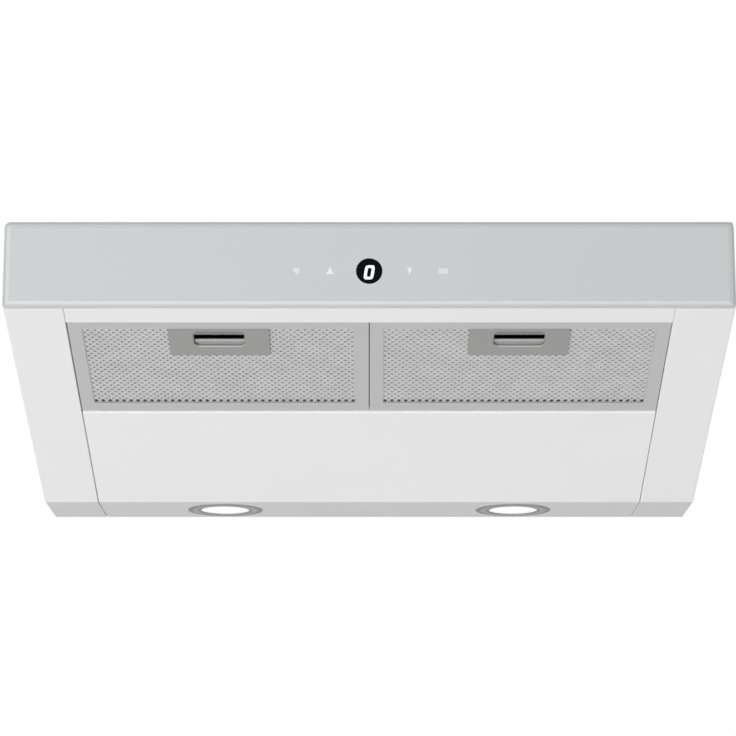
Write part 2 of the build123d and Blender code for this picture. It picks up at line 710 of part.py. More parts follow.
def lamp_bezel():
    """Satin ring below the panel with a many-sided tube that stands up through it."""
    outline = [
        (LAMP_GLOW_RADIUS, -LAMP_RIM),
        (LAMP_RIM_FLAT, -LAMP_RIM),
        (LAMP_RIM_RADIUS, -LAMP_RIM_EDGE),
        (LAMP_RIM_RADIUS, 0),
        (LAMP_GLOW_RADIUS, 0),
    ]
    tube = prism(LAMP_TUBE_RADIUS, LAMP_SIDES, (lens_seat, LAMP_TUBE))
    tube -= prism(LAMP_TUBE_RADIUS - LAMP_TUBE_WALL, LAMP_SIDES, (lens_seat, LAMP_TUBE + PAST))
    return turned(outline) + tube


def lamp_lens():
    """Frosted lens that lies in the tube and shows through the ring."""
    return prism(lens_radius, LAMP_SIDES, (lens_seat, lens_top))


def lamp_body():
    """Light engine: a base on the lens, and a square core with cooling fins."""
    body = prism(lens_radius, LAMP_SIDES, (lens_top, sink_low))
    core = both(LAMP_CORE)
    sink_z = (sink_low, sink_low + LAMP_SINK)
    body += block(core, core, sink_z)
    pitch = 2 * LAMP_CORE / (LAMP_FINS - 1)
    body += [block(both(LAMP_FIN_REACH), around(k * pitch - LAMP_CORE, LAMP_FIN_THICK), sink_z)
             for k in range(LAMP_FINS)]
    return body


def lamp_clips():
    """Two sprung leaves that press on the panel and hold the lamp up."""
    top = LAMP_TUBE
    foot = LAMP_TUBE_RADIUS + CLIP_REACH
    outline = [
        (LAMP_TUBE_RADIUS, top),
        (LAMP_TUBE_RADIUS + CLIP_THICK, top),
        (foot, SHEET + 2 * CLIP_THICK),
        (foot, SHEET),
        (foot - CLIP_THICK, SHEET),
        (LAMP_TUBE_RADIUS, top - 2 * CLIP_THICK),
    ]
    face = make_face(Polyline(*[(r, 0, z) for r, z in outline], close=True))
    clip = extrude(face, CLIP_WIDTH / 2, both=True)
    return Compound([clip, mirror(clip, about=Plane.YZ)])


def scroll_point(degree, grow):
    """Point of the spiral, at an angle from +Y and a wall outside its inside."""
    share = (degree - TONGUE_ANGLE) / (360 - TONGUE_ANGLE)
    radius = tongue_radius + share * SCROLL_GROWTH + grow
    return (radius * cos(radians(degree)), radius * sin(radians(degree)))


def scroll_outline(grow):
    """Spiral of arcs from the tongue round to the back, then a straight outlet to the top."""
    start = degrees(acos((mouth_front - grow) / (tongue_radius + grow)))
    stops = [start, 180, 270, 360]
    arcs = [
        ThreePointArc(scroll_point(a, grow), scroll_point((a + b) / 2, grow), scroll_point(b, grow))
        for a, b in zip(stops, stops[1:])
    ]
    top = BLOWER_DROP - SHEET
    first = arcs[0] @ 0
    last = arcs[-1] @ 1
    rim = Polyline((last.X, last.Y), (last.X, top), (first.X, top), (first.X, first.Y))
    return make_face([*arcs, *rim.edges()])


def bracket_spot(k):
    """Turn about the blower axis to an arm of the motor bracket."""
    return Rot(BRACKET_TURN + 360 * k / BRACKET_ARMS, 0, 0)


def scroll_shell():
    """Right half of the scroll, open at the middle, with its inlet and its flange to the top."""
    shell = extrude(Plane.YZ * scroll_outline(SCROLL_WALL), scroll_half)
    top = BLOWER_DROP - SHEET
    flange_y = (flange_front - blower_y, flange_back - blower_y)
    shell += block((0, flange_x), flange_y, (top - SCROLL_FLANGE_THICK, top))
    shell -= extrude(Plane.YZ.offset(-PAST) * scroll_outline(0), scroll_inside + PAST)
    mouth_y = (mouth_front, outlet_radius)
    shell -= block((-PAST, scroll_inside), mouth_y, (top - SCROLL_FLANGE_THICK - PAST, top + PAST))
    shell -= rod_x(INLET_RADIUS, (scroll_inside - PAST, scroll_half + PAST))
    hole = screw_way((-SHEET - SCROLL_FLANGE_THICK - PAST, 0))
    shell -= [blower.inverse() * Pos(x, y) * hole for x, y in collar_screw_places]
    return shell


def scroll_right_half():
    """Half that carries the motor: three screw holes round its inlet."""
    shell = scroll_shell()
    hole = screw_way_x((scroll_inside - PAST, scroll_half + PAST))
    shell -= [bracket_spot(k) * Pos(0, BRACKET_REACH, 0) * hole for k in range(BRACKET_ARMS)]
    return blower * shell


def scroll_left_half():
    return blower * mirror(scroll_shell(), about=Plane.YZ)


def polar(radius, degree):
    return (radius * cos(radians(degree)), radius * sin(radians(degree)))


def blade_side(shift):
    """One side of a blade: root, bend and tip, turned by half the blade's thickness."""
    root = IMPELLER_RADIUS - BLADE_DEPTH
    middle = root + BLADE_DEPTH / 2
    half = degrees(BLADE_THICK / 2 / middle) * shift
    bend = polar(middle, BLADE_LEAD / 2 - BLADE_BOW + half)
    return [polar(root, half), bend, polar(IMPELLER_RADIUS, BLADE_LEAD + half)]


def cage_ring(x):
    """Ring at an end of the wheel, with a flat for each half of a blade's pitch."""
    sides = 2 * BLADE_COUNT
    ring = RegularPolygon(IMPELLER_RADIUS, sides) - RegularPolygon(IMPELLER_RADIUS - BLADE_DEPTH, sides)
    return extrude(Plane.YZ.offset(x[0]) * ring, x[1] - x[0])


def impeller():
    """Squirrel-cage wheel: forward-bent blades between two rings, on a disc with a hub."""
    blade = make_face(Polyline(*blade_side(-1), *reversed(blade_side(1)), close=True))
    half = IMPELLER_WIDTH / 2
    bar = extrude(Plane.YZ.offset(-half + RING_THICK / 2) * blade, IMPELLER_WIDTH - RING_THICK)
    disc = RegularPolygon(IMPELLER_RADIUS - BLADE_DEPTH / 2, 2 * BLADE_COUNT)
    wheel = extrude(Plane.YZ * disc, DISC_THICK) + rod_x(HUB_RADIUS, (-HUB_LENGTH, 0))
    bars = [Rot(360 * k / BLADE_COUNT, 0, 0) * bar for k in range(BLADE_COUNT)]
    rings = [cage_ring((half - RING_THICK, half)), cage_ring((-half, RING_THICK - half))]
    wheel = wheel + rings + bars
    return blower * (wheel - rod_x(SHAFT_RADIUS, both(IMPELLER_WIDTH)))


def motor_shaft():
    """Shaft from the hub through both motor bearings."""
    return blower * rod_x(SHAFT_RADIUS, (-HUB_LENGTH, bracket_x - MOTOR_CAP - SEAT_GAP))


motor_front = bracket_x - MOTOR_LENGTH


def motor_housing():
    """Round motor inside the wheel, bored for its bearings and welded to its bracket."""
    body = rod_x(MOTOR_RADIUS, (motor_front, bracket_x))
    body = chamfer(body.faces().sort_by(Axis.X)[0].edges(), MOTOR_EDGE)
    body -= Rot(0, 90, 0) * hexagon(BEARING_RADIUS + FIT, (motor_front - PAST, bracket_x - MOTOR_CAP))
    return blower * body


def motor_bearings():
    """Two six-sided plain bearings, one in each end of the motor."""
    rear_end = bracket_x - MOTOR_CAP
    spans = [(motor_front, motor_front + BEARING_LENGTH), (rear_end - BEARING_LENGTH, rear_end)]
    bore = rod_x(SHAFT_RADIUS + FIT, both(WIDTH))
    rings = [Rot(0, 90, 0) * hexagon(BEARING_RADIUS, x) - bore for x in spans]
    return Compound([blower * ring for ring in rings])


def motor_bracket():
    """Three-armed plate that hangs the motor in the inlet."""
    x = (bracket_x, bracket_x + BRACKET_THICK)
    plate = Rot(0, 90, 0) * hexagon(BRACKET_RING, x)
    arm = block(x, (0, BRACKET_REACH + BRACKET_ARM / 2), both(BRACKET_ARM / 2))
    plate += [bracket_spot(k) * arm for k in range(BRACKET_ARMS)]
    past = (x[0] - PAST, x[1] + PAST)
    eye = Pos(0, BRACKET_REACH, 0) * Rot(0, 90, 0) * hexagon(BUSH_RADIUS + FIT, past)
    plate -= [bracket_spot(k) * eye for k in range(BRACKET_ARMS)]
    return blower * (plate - Rot(0, 90, 0) * hexagon(BEARING_RADIUS, past))


def motor_bushes():
    """Rubber bushes in the eyes of the bracket, with flanges against the scroll."""
    outside = bracket_x + BRACKET_THICK
    bush = hexagon(BUSH_RADIUS, (scroll_half, outside)) + hexagon(BUSH_FLANGE_RADIUS, (scroll_half, bracket_x))
    bush = Rot(0, 90, 0) * (bush - screw_way((scroll_half - PAST, outside + PAST)))
    return Compound([blower * bracket_spot(k) * Pos(0, BRACKET_REACH, 0) * bush for k in range(BRACKET_ARMS)])


def motor_screws():
    """Three screws through the bushes into the scroll."""
    outside = bracket_x + BRACKET_THICK
    piece = Pos(outside, 0, 0) * Rot(0, 90, 0) * screw(outside - scroll_inside)
    return Compound([blower * bracket_spot(k) * Pos(0, BRACKET_REACH, 0) * piece for k in range(BRACKET_ARMS)])


def inlet_guard():
    """Finger guard over the free inlet: bars across a square frame."""
    x = (-scroll_half - GUARD_THICK, -scroll_half)
    outer = INLET_RADIUS + GUARD_RIM
    hole = both(INLET_RADIUS)
    guard = block(x, both(outer), both(outer)) - block((x[0] - PAST, x[1] + PAST), hole, hole)
    for k in range(1, GUARD_BARS + 1):
        z = INLET_RADIUS * (2 * k / (GUARD_BARS + 1) - 1)
        guard += block(x, both(outer), around(z, GUARD_BAR))
    return blower * guard


collar_place = Pos(0, collar_y)
pin_half = collar_bore - SEAT_GAP


def duct_collar():
    """Round spigot for the duct on a square flange, with two stops and two slotted seats for the pin."""
    plate = both(COLLAR_FLANGE_HALF)
    collar = block(plate, plate, (0, COLLAR_FLANGE)) + rod(COLLAR_RADIUS, (0, COLLAR_HEIGHT))
    collar -= rod(collar_bore, (-PAST, COLLAR_HEIGHT + PAST))
    stop = FLAP_HEIGHT - FLAP_THICK / 2 - SEAT_GAP
    for y in both(collar_bore - STOP_LENGTH / 2 + COLLAR_WALL / 2):
        collar += block(both(STOP_WIDTH), around(y, STOP_LENGTH), (stop - STOP_HEIGHT, stop))
    seat_top = FLAP_HEIGHT + 2 * FLAP_PIN_RADIUS
    for x in both(collar_bore - SEAT_LENGTH / 2 + COLLAR_WALL / 2):
        collar += block(around(x, SEAT_LENGTH), both(2 * FLAP_PIN_RADIUS), (stop - STOP_HEIGHT, seat_top))
    slot_z = (FLAP_HEIGHT - FLAP_PIN_RADIUS, seat_top + PAST)
    collar -= block(both(pin_half), both(FLAP_PIN_RADIUS), slot_z)
    hole = screw_way((-PAST, COLLAR_FLANGE + PAST))
    return collar_place * collar - [Pos(x, y) * hole for x, y in collar_screw_places]


def flap_pin():
    """Pin across the collar that both flaps turn on."""
    return collar_place * Pos(0, 0, FLAP_HEIGHT) * rod_x(FLAP_PIN_RADIUS, both(pin_half))


def rear_flap():
    """Half-round flap with a six-sided knuckle along its half of the pin."""
    radius = collar_bore - FLAP_GAP
    edge = KNUCKLE_RADIUS + SEAT_GAP
    disc = rod(radius, both(FLAP_THICK / 2))
    seat = collar_bore + COLLAR_WALL / 2 - SEAT_LENGTH
    flap = disc & block(both(seat - SEAT_GAP), (edge, radius), both(FLAP_THICK))
    span = (KNUCKLE_GAP, KNUCKLE_GAP + KNUCKLE_LENGTH)
    flap += Rot(0, 90, 0) * hexagon(KNUCKLE_RADIUS, span)
    flap += block(span, (0, edge), both(FLAP_THICK / 2))
    flap -= rod_x(FLAP_PIN_RADIUS + FIT, (span[0] - PAST, span[1] + PAST))
    return collar_place * Pos(0, 0, FLAP_HEIGHT) * flap


def front_flap():
    """The other flap, turned half round."""
    turn = collar_place * Rot(0, 0, 180) * collar_place.inverse()
    return turn * rear_flap()


def control_box():
    """Moulded box under the top panel, open below, with two screwed ears."""
    top = -SHEET
    low = top - CONTROL_HEIGHT
    x = around(CONTROL_X, CONTROL_WIDTH)
    y = around(CONTROL_Y, CONTROL_LENGTH)
    box = block(x, y, (low, top))
    box -= block(around(CONTROL_X, CONTROL_WIDTH - 2 * CONTROL_WALL),
                 around(CONTROL_Y, CONTROL_LENGTH - 2 * CONTROL_WALL), (low - PAST, top - CONTROL_WALL))
    ear_y = around(CONTROL_Y, CONTROL_LENGTH + 2 * CONTROL_EAR)
    box += block(around(CONTROL_X, 2 * CONTROL_EAR), ear_y, (top - CONTROL_WALL, top))
    post = block(both(POST_HALF), both(POST_HALF), (low + CONTROL_HEIGHT / 2, top - CONTROL_WALL / 2))
    box += [Pos(px, py) * post for px, py in control_posts()]
    hole = screw_way((top - CONTROL_WALL - PAST, top + PAST))
    return box - [Pos(px, py) * hole for px, py in control_screw_places]


def control_posts():
    """Where the power board stands off the box."""
    inset = CONTROL_WALL + 2 * POST_HALF
    return [
        (x, y)
        for x in around(CONTROL_X, CONTROL_WIDTH - 2 * inset)
        for y in around(CONTROL_Y, CONTROL_LENGTH - 2 * inset)
    ]


def control_lid():
    """Flat lid under the control box with a rim that locates it."""
    low = -SHEET - CONTROL_HEIGHT
    lid = block(around(CONTROL_X, CONTROL_WIDTH), around(CONTROL_Y, CONTROL_LENGTH), (low - CONTROL_LID, low))
    inner = 2 * (CONTROL_WALL + FIT)
    rim = block(around(CONTROL_X, CONTROL_WIDTH - inner), around(CONTROL_Y, CONTROL_LENGTH - inner),
                (low - CONTROL_LID / 2, low + CONTROL_LID))
    inner += 2 * CONTROL_WALL
    rim -= block(around(CONTROL_X, CONTROL_WIDTH - inner), around(CONTROL_Y, CONTROL_LENGTH - inner),
                 (low, low + 2 * CONTROL_LID))
    return lid + rim


def power_board():
    """Supply board on the box's posts, with its transformer, relays and plugs."""
    high = -SHEET - CONTROL_HEIGHT / 2
    low = high - BOARD_THICK
    room = CONTROL_HEIGHT / 2 - BOARD_THICK - 2 * CONTROL_LID
    margin = 2 * (CONTROL_WALL + SEAT_GAP)
    width = CONTROL_WIDTH - margin
    length = CONTROL_LENGTH - margin
    board = block(around(CONTROL_X, width), around(CONTROL_Y, length), (low, high))
    parts = [
        (-width / 4, length / 4, width / 3, length / 3, room),
        (width / 4, length / 3, width / 5, length / 6, room * 3 / 4),
        (width / 4, length / 10, width / 5, length / 6, room * 3 / 4),
        (0, -length * 2 / 5, width * 3 / 4, length / 10, room / 2),
        (-width / 4, -length / 6, width / 4, length / 8, room / 3),
    ]
    for x, y, wide, long, tall in parts:
        board += block(around(CONTROL_X + x, wide), around(CONTROL_Y + y, long), (low - tall, low))
    return board


def lamp_driver():
    """Closed driver for the lamps, bonded under the top panel."""
    top = -SHEET
    z = (top - DRIVER_HEIGHT, top)
    case = block(around(DRIVER_X, DRIVER_WIDTH), around(DRIVER_Y, DRIVER_LENGTH), z)
    return chamfer(case.edges().filter_by(Axis.Z), DRIVER_EDGE)


capacitor_z = -SHEET - STRAP_THICK - CAPACITOR_RADIUS


def capacitor():
    """Motor capacitor: a can with two tags."""
    can = Rot(90, 0, 0) * Cylinder(CAPACITOR_RADIUS, CAPACITOR_LENGTH)
    end = (CAPACITOR_LENGTH / 2, CAPACITOR_LENGTH / 2 + CAPACITOR_RADIUS / 2)
    tags = [
        block(around(x, CAPACITOR_TAG), end, both(CAPACITOR_RADIUS / 5))
        for x in both(CAPACITOR_RADIUS / 3)
    ]
    return Pos(CAPACITOR_X, CAPACITOR_Y, capacitor_z) * (can + tags)


def capacitor_strap():
    """Steel strap under the capacitor with a foot on each side."""
    outer = CAPACITOR_RADIUS + STRAP_THICK
    wide = both(STRAP_WIDTH / 2)
    strap = block(both(outer), wide, both(outer))
    bore = CAPACITOR_RADIUS + FIT
    strap -= block(both(bore), both(STRAP_WIDTH), (-bore, outer + PAST))
    for sign in (-1, 1):
        foot = sorted((sign * bore, sign * strap_foot))
        strap += block(foot, wide, (CAPACITOR_RADIUS, outer))
    return Pos(CAPACITOR_X, CAPACITOR_Y, capacitor_z) * strap


def terminal_block():
    """Screw terminals for the supply cable."""
    top = -SHEET
    low = top - TERMINAL_HEIGHT
    body = block(around(TERMINAL_X, TERMINAL_WIDTH), around(TERMINAL_Y, TERMINAL_LENGTH), (low, top))
    pitch = TERMINAL_WIDTH / TERMINAL_POLES
    for k in range(TERMINAL_POLES):
        x = TERMINAL_X + (k - (TERMINAL_POLES - 1) / 2) * pitch
        well = block(both(TERMINAL_WELL), both(TERMINAL_WELL), (low - PAST, low + TERMINAL_HEIGHT / 2))
        body -= Pos(x, TERMINAL_Y) * well
    return body


def top_screws():
    """Long screws through collar, top panel and scroll, and short ones up into the control box ears."""
    long = Pos(0, 0, COLLAR_FLANGE) * screw(COLLAR_FLANGE + SHEET + SCROLL_FLANGE_THICK)
    pieces = [Pos(x, y) * long for x, y in collar_screw_places]
    short = Pos(0, 0, -SHEET - CONTROL_WALL) * Rot(180, 0, 0) * screw(SHEET + CONTROL_WALL)
    return Compound(pieces + [Pos(x, y) * short for x, y in control_screw_places])


def lead(*points):
    """Flat-sided lead along straight runs joined by bends."""
    route = FilletPolyline(*points, radius=LEAD_BEND) if len(points) > 2 else Line(*points)
    section = Plane(origin=route @ 0, z_dir=route % 0) * RegularPolygon(LEAD_RADIUS, LEAD_SIDES)
    return sweep(section, route)


def wiring_harness():
    """Leads that are clipped inside the body, from box to touch board, motor, lamps and driver."""
    top = -SHEET - LEAD_RADIUS
    box_front = CONTROL_Y - CONTROL_LENGTH / 2
    box_back = CONTROL_Y + CONTROL_LENGTH / 2
    box_left = CONTROL_X - CONTROL_WIDTH / 2
    touch_x = CONTROL_X - LEAD_SPREAD
    touch_y = y_tray + LEAD_ROOM
    touch = lead((0, y_glass + BOARD_THICK, z_display), (0, touch_y, z_display), (0, touch_y, top),
                 (touch_x, touch_y, top), (touch_x, box_front, top))
    middle = -SHEET - CONTROL_HEIGHT / 2
    motor_x = bracket_x + LEAD_SPREAD
    motor_y = CONTROL_Y + LEAD_SPREAD
    motor = lead((bracket_x, blower_y, -BLOWER_DROP), (motor_x, blower_y, -BLOWER_DROP),
                 (motor_x, blower_y, middle), ((motor_x + box_left) / 2, motor_y, middle),
                 (box_left, motor_y, middle))
    driver_back = DRIVER_Y + DRIVER_LENGTH / 2
    high = -SHEET - LEAD_DEPTH
    low = high - LEAD_LAYER
    lamp_x = LAMP_SPACING / 2
    lamp_top = sink_low + LAMP_SINK - HEIGHT
    left = lead((DRIVER_X, driver_back, high), (DRIVER_X, lamp_y, high), (-lamp_x, lamp_y, high),
                (-lamp_x, lamp_y, lamp_top))
    right_x = DRIVER_X + 2 * LEAD_RADIUS
    right_y = lamp_y + LEAD_BACK
    right = lead((right_x, driver_back, low), (right_x, right_y, low), (lamp_x, right_y, low),
                 (lamp_x, lamp_y, low), (lamp_x, lamp_y, lamp_top))
    driver_y = (flange_front + CAPACITOR_Y + CAPACITOR_LENGTH / 2 + CAPACITOR_RADIUS / 2) / 2
    driver = lead((box_left, driver_y, high), (DRIVER_X + DRIVER_WIDTH / 2, driver_y, high))
    tail = lead((TERMINAL_X, TERMINAL_Y - TERMINAL_LENGTH / 2, high), (TERMINAL_X, box_back, high))
    return Compound([touch, motor, left, right, driver, tail])


gland_place = Pos(GLAND_X, GLAND_Y)


def cable_gland():
    """Gland for the supply cable: a hexagon above the top and a tail through it."""
    gland = hexagon(GLAND_HEAD, (0, GLAND_HEAD_HEIGHT))
    gland = chamfer(gland.edges().group_by(Axis.Z)[-1], GLAND_EDGE)
    gland += hexagon(GLAND_THREAD, (-GLAND_TAIL, 0))
    return gland_place * (gland - rod(GLAND_BORE, (-GLAND_TAIL - PAST, GLAND_HEAD_HEIGHT + PAST)))


def gland_nut():
    """Locknut under the top panel."""
    z = (-SHEET - GLAND_NUT, -SHEET)
    bore = hexagon(GLAND_THREAD + FIT, (z[0] - PAST, z[1] + PAST))
    return gland_place * (hexagon(GLAND_HEAD, z) - bore)


nodes = {
    "top_panel": top_panel(),
    "back_panel": back_panel(),
    "front_tray": front_tray(),
    "glass_tape": glass_tape(),
    "front_glass": front_glass(),
    "display_lens": display_lens(),
    "digit_display": digit_display(),
    "touch_board": touch_board(),
    "touch_holder": touch_holder(),
    "front_crossbar": front_crossbar(),
    "light_panel": light_panel(),
    "panel_screws": panel_screws(),
    "scroll_left_half": scroll_left_half(),
    "scroll_right_half": scroll_right_half(),
    "impeller": impeller(),
    "motor_shaft": motor_shaft(),
    "motor_housing": motor_housing(),
    "motor_bearings": motor_bearings(),
    "motor_bracket": motor_bracket(),
    "motor_bushes": motor_bushes(),
    "motor_screws": motor_screws(),
    "inlet_guard": inlet_guard(),
    "duct_collar": duct_collar(),
    "flap_pin": flap_pin(),
    "front_flap": front_flap(),
    "rear_flap": rear_flap(),
    "control_box": control_box(),
    "control_lid": control_lid(),
    "power_board": power_board(),
    "lamp_driver": lamp_driver(),
    "capacitor": capacitor(),
    "capacitor_strap": capacitor_strap(),
    "terminal_block": terminal_block(),
    "top_screws": top_screws(),
    "wiring_harness": wiring_harness(),
    "cable_gland": cable_gland(),
    "gland_nut": gland_nut(),
}
right_side = side_panel()
nodes["side_panel_right"] = right_side
nodes["side_panel_left"] = mirror(right_side, about=Plane.YZ)
filter_pieces = [filter_frame, filter_face, filter_core, latch_housing, latch_slide, latch_spring]
lamp_pieces = [lamp_bezel, lamp_lens, lamp_body, lamp_clips]
for side, sign in (("left", -1), ("right", 1)):
    for make in filter_pieces:
        nodes[f"{make.__name__}_{side}"] = filter_place(sign * filter_x) * make()
    for make in lamp_pieces:
        nodes[f"{make.__name__}_{side}"] = lamp_place(sign * LAMP_SPACING / 2) * make()

os.makedirs("parts", exist_ok=True)
for name, shape in nodes.items():
    export_step(shape, f"parts/{name}.step")
print(len(nodes), "nodes,", 2 * len(mesh_places()), "mesh openings, slope", round(degrees(angle), 2))
print("lead radius", LEAD_RADIUS, "bend radius", LEAD_BEND)
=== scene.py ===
import bpy
import math
import numpy as np
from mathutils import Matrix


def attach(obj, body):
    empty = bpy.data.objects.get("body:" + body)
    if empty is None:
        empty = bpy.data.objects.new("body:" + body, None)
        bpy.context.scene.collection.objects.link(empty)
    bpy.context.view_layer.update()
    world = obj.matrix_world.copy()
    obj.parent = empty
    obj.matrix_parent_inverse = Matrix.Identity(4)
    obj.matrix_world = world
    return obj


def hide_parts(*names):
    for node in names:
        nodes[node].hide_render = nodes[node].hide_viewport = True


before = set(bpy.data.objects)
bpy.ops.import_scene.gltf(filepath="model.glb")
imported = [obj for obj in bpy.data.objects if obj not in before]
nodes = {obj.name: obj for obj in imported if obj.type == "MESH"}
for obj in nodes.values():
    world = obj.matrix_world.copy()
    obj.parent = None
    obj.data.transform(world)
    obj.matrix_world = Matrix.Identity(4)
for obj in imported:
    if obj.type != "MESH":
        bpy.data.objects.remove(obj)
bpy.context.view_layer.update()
print("frame loaded:", len(nodes), "nodes")

mm = 0.001
hood = {
    "frontY": -202.5,       # face of the glass
    "glassTop": -1.0,
    "glassLow": -73.0,
    "flatZ": -180.0,        # level part of the underside
    "bodyY": -196.9,        # front edge of the underside, behind the glass
    "slope": math.atan2(107.0, 314.4),
    "displayZ": -42.8,
    "filterX": 124.8125,    # middle of a filter
    "filterS": 22.75,       # its front edge, down the slope from the glass
    "recess": 1.0,
    "lampX": 135.0,         # axis of a lamp
    "lampY": 161.5,
}


def addNode(tree, kind, links=(), **settings):
    node = tree.nodes.new(kind)
    for key, value in settings.items():
        if hasattr(node, key):
            setattr(node, key, value)
        else:
            node.inputs[key.replace("_", " ")].default_value = value
    for output, name in links:
        tree.links.new(output, node.inputs[name])
    return node


noiseBand = (0.3, 0.7)      # part of the noise that is spread over the whole range of a finish
smoothest = 0.02            # least roughness


def makeFinish(name, look):
    # cloud noise moves the tone a little, fine noise gives the bump and the spread of roughness
    material = bpy.data.materials.new(name)
    material.use_nodes = True
    tree = material.node_tree
    shader = tree.nodes["Principled BSDF"]
    shader.inputs["Metallic"].default_value = look.get("metal", 0.0)
    shader.inputs["IOR"].default_value = look.get("ior", 1.5)
    shader.inputs["Specular IOR Level"].default_value = look.get("specular", 0.5)
    place = addNode(tree, "ShaderNodeTexCoord")
    stretch = addNode(tree, "ShaderNodeMapping", [(place.outputs["Object"], "Vector")])
    stretch.inputs["Scale"].default_value = look.get("stretch", (1, 1, 1))
    cloud = addNode(tree, "ShaderNodeTexNoise", [(stretch.outputs[0], "Vector")],
                    Scale=look.get("cloud", 14.0), Detail=3.0, Roughness=0.55)
    tone = np.array(look["tone"])
    spread = look.get("spread", 0.03)
    ramp = addNode(tree, "ShaderNodeValToRGB", [(cloud.outputs["Fac"], "Fac")])
    ramp.color_ramp.elements[0].position = noiseBand[0]
    ramp.color_ramp.elements[1].position = noiseBand[1]
    ramp.color_ramp.elements[0].color = (*np.clip(tone * (1 - spread), 0, 1), 1)
    ramp.color_ramp.elements[1].color = (*np.clip(tone * (1 + spread), 0, 1), 1)
    paint = ramp.outputs["Color"]
    if "paintedLightByFacing" in look:
        # faces that look the given way get a share of the tone, as painted light and shade: painted shade on the
        # front faces of the light panel and of the filter frames, painted shade in the finger scoop of the latch,
        # painted light on the downward faces of the glass edge
        paintedLightByFacing = look["paintedLightByFacing"]
        match = addNode(tree, "ShaderNodeVectorMath", [(place.outputs["Normal"], 0)], operation="DOT_PRODUCT")
        match.inputs[1].default_value = paintedLightByFacing["way"]
        share = addNode(tree, "ShaderNodeMapRange", [(match.outputs["Value"], "Value")])
        share.inputs["From Min"].default_value = paintedLightByFacing["from"]
        share.inputs["From Max"].default_value = paintedLightByFacing["to"]
        share.inputs["To Min"].default_value = 1.0
        share.inputs["To Max"].default_value = paintedLightByFacing["share"]
        paintedLightScale = addNode(tree, "ShaderNodeVectorMath", [(paint, 0)], operation="SCALE")
        tree.links.new(share.outputs["Result"], paintedLightScale.inputs["Scale"])
        paint = paintedLightScale.outputs[0]
    if "rings" in look:
        # distance from the axis of either lamp picks a share of the tone: painted bands of light and shade round the
        # lens
        radii, shares = np.array(look["rings"]).T
        mirrored = addNode(tree, "ShaderNodeVectorMath", [(place.outputs["Object"], 0)], operation="ABSOLUTE")
        level = addNode(tree, "ShaderNodeVectorMath", [(mirrored.outputs[0], 0)], operation="MULTIPLY")
        level.inputs[1].default_value = (1, 1, 0)
        reach = addNode(tree, "ShaderNodeVectorMath", [(level.outputs[0], 0)], operation="DISTANCE")
        reach.inputs[1].default_value = (hood["lampX"] * mm, hood["lampY"] * mm, 0)
        across = addNode(tree, "ShaderNodeMapRange", [(reach.outputs["Value"], "Value")])
        across.inputs["From Min"].default_value = radii[0] * mm
        across.inputs["From Max"].default_value = radii[-1] * mm
        paintedLightShadeBands = addNode(tree, "ShaderNodeValToRGB", [(across.outputs["Result"], "Fac")])
        stops = paintedLightShadeBands.color_ramp.elements
        for radius in radii[1:-1]:
            stops.new((radius - radii[0]) / (radii[-1] - radii[0]))
        for stop, share in zip(stops, shares):
            stop.color = (share, share, share, 1)
        paint = addNode(tree, "ShaderNodeVectorMath", [(paint, 0), (paintedLightShadeBands.outputs["Color"], 1)],
                        operation="MULTIPLY").outputs[0]
    tree.links.new(paint, shader.inputs["Base Color"])
    grain = addNode(tree, "ShaderNodeTexNoise", [(stretch.outputs[0], "Vector")],
                    Scale=look.get("grain", 700.0), Detail=2.0)
    rough = look.get("rough", 0.4)
    roughSpan = look.get("roughSpread", 0.06)
    roughMap = addNode(tree, "ShaderNodeMapRange", [(grain.outputs["Fac"], "Value")])
    roughMap.inputs["From Min"].default_value = noiseBand[0]
    roughMap.inputs["From Max"].default_value = noiseBand[1]
    roughMap.inputs["To Min"].default_value = max(rough - roughSpan, smoothest)
    roughMap.inputs["To Max"].default_value = rough + roughSpan
    tree.links.new(roughMap.outputs["Result"], shader.inputs["Roughness"])
    bump = addNode(tree, "ShaderNodeBump", [(grain.outputs["Fac"], "Height")])
    bump.inputs["Strength"].default_value = look.get("bump", 0.1)
    bump.inputs["Distance"].default_value = look.get("bumpDepth", 0.0001)
    tree.links.new(bump.outputs["Normal"], shader.inputs["Normal"])
    if "glow" in look:
        tree.links.new(ramp.outputs["Color"], shader.inputs["Emission Color"])
        shader.inputs["Emission Strength"].default_value = look["glow"]
    return material


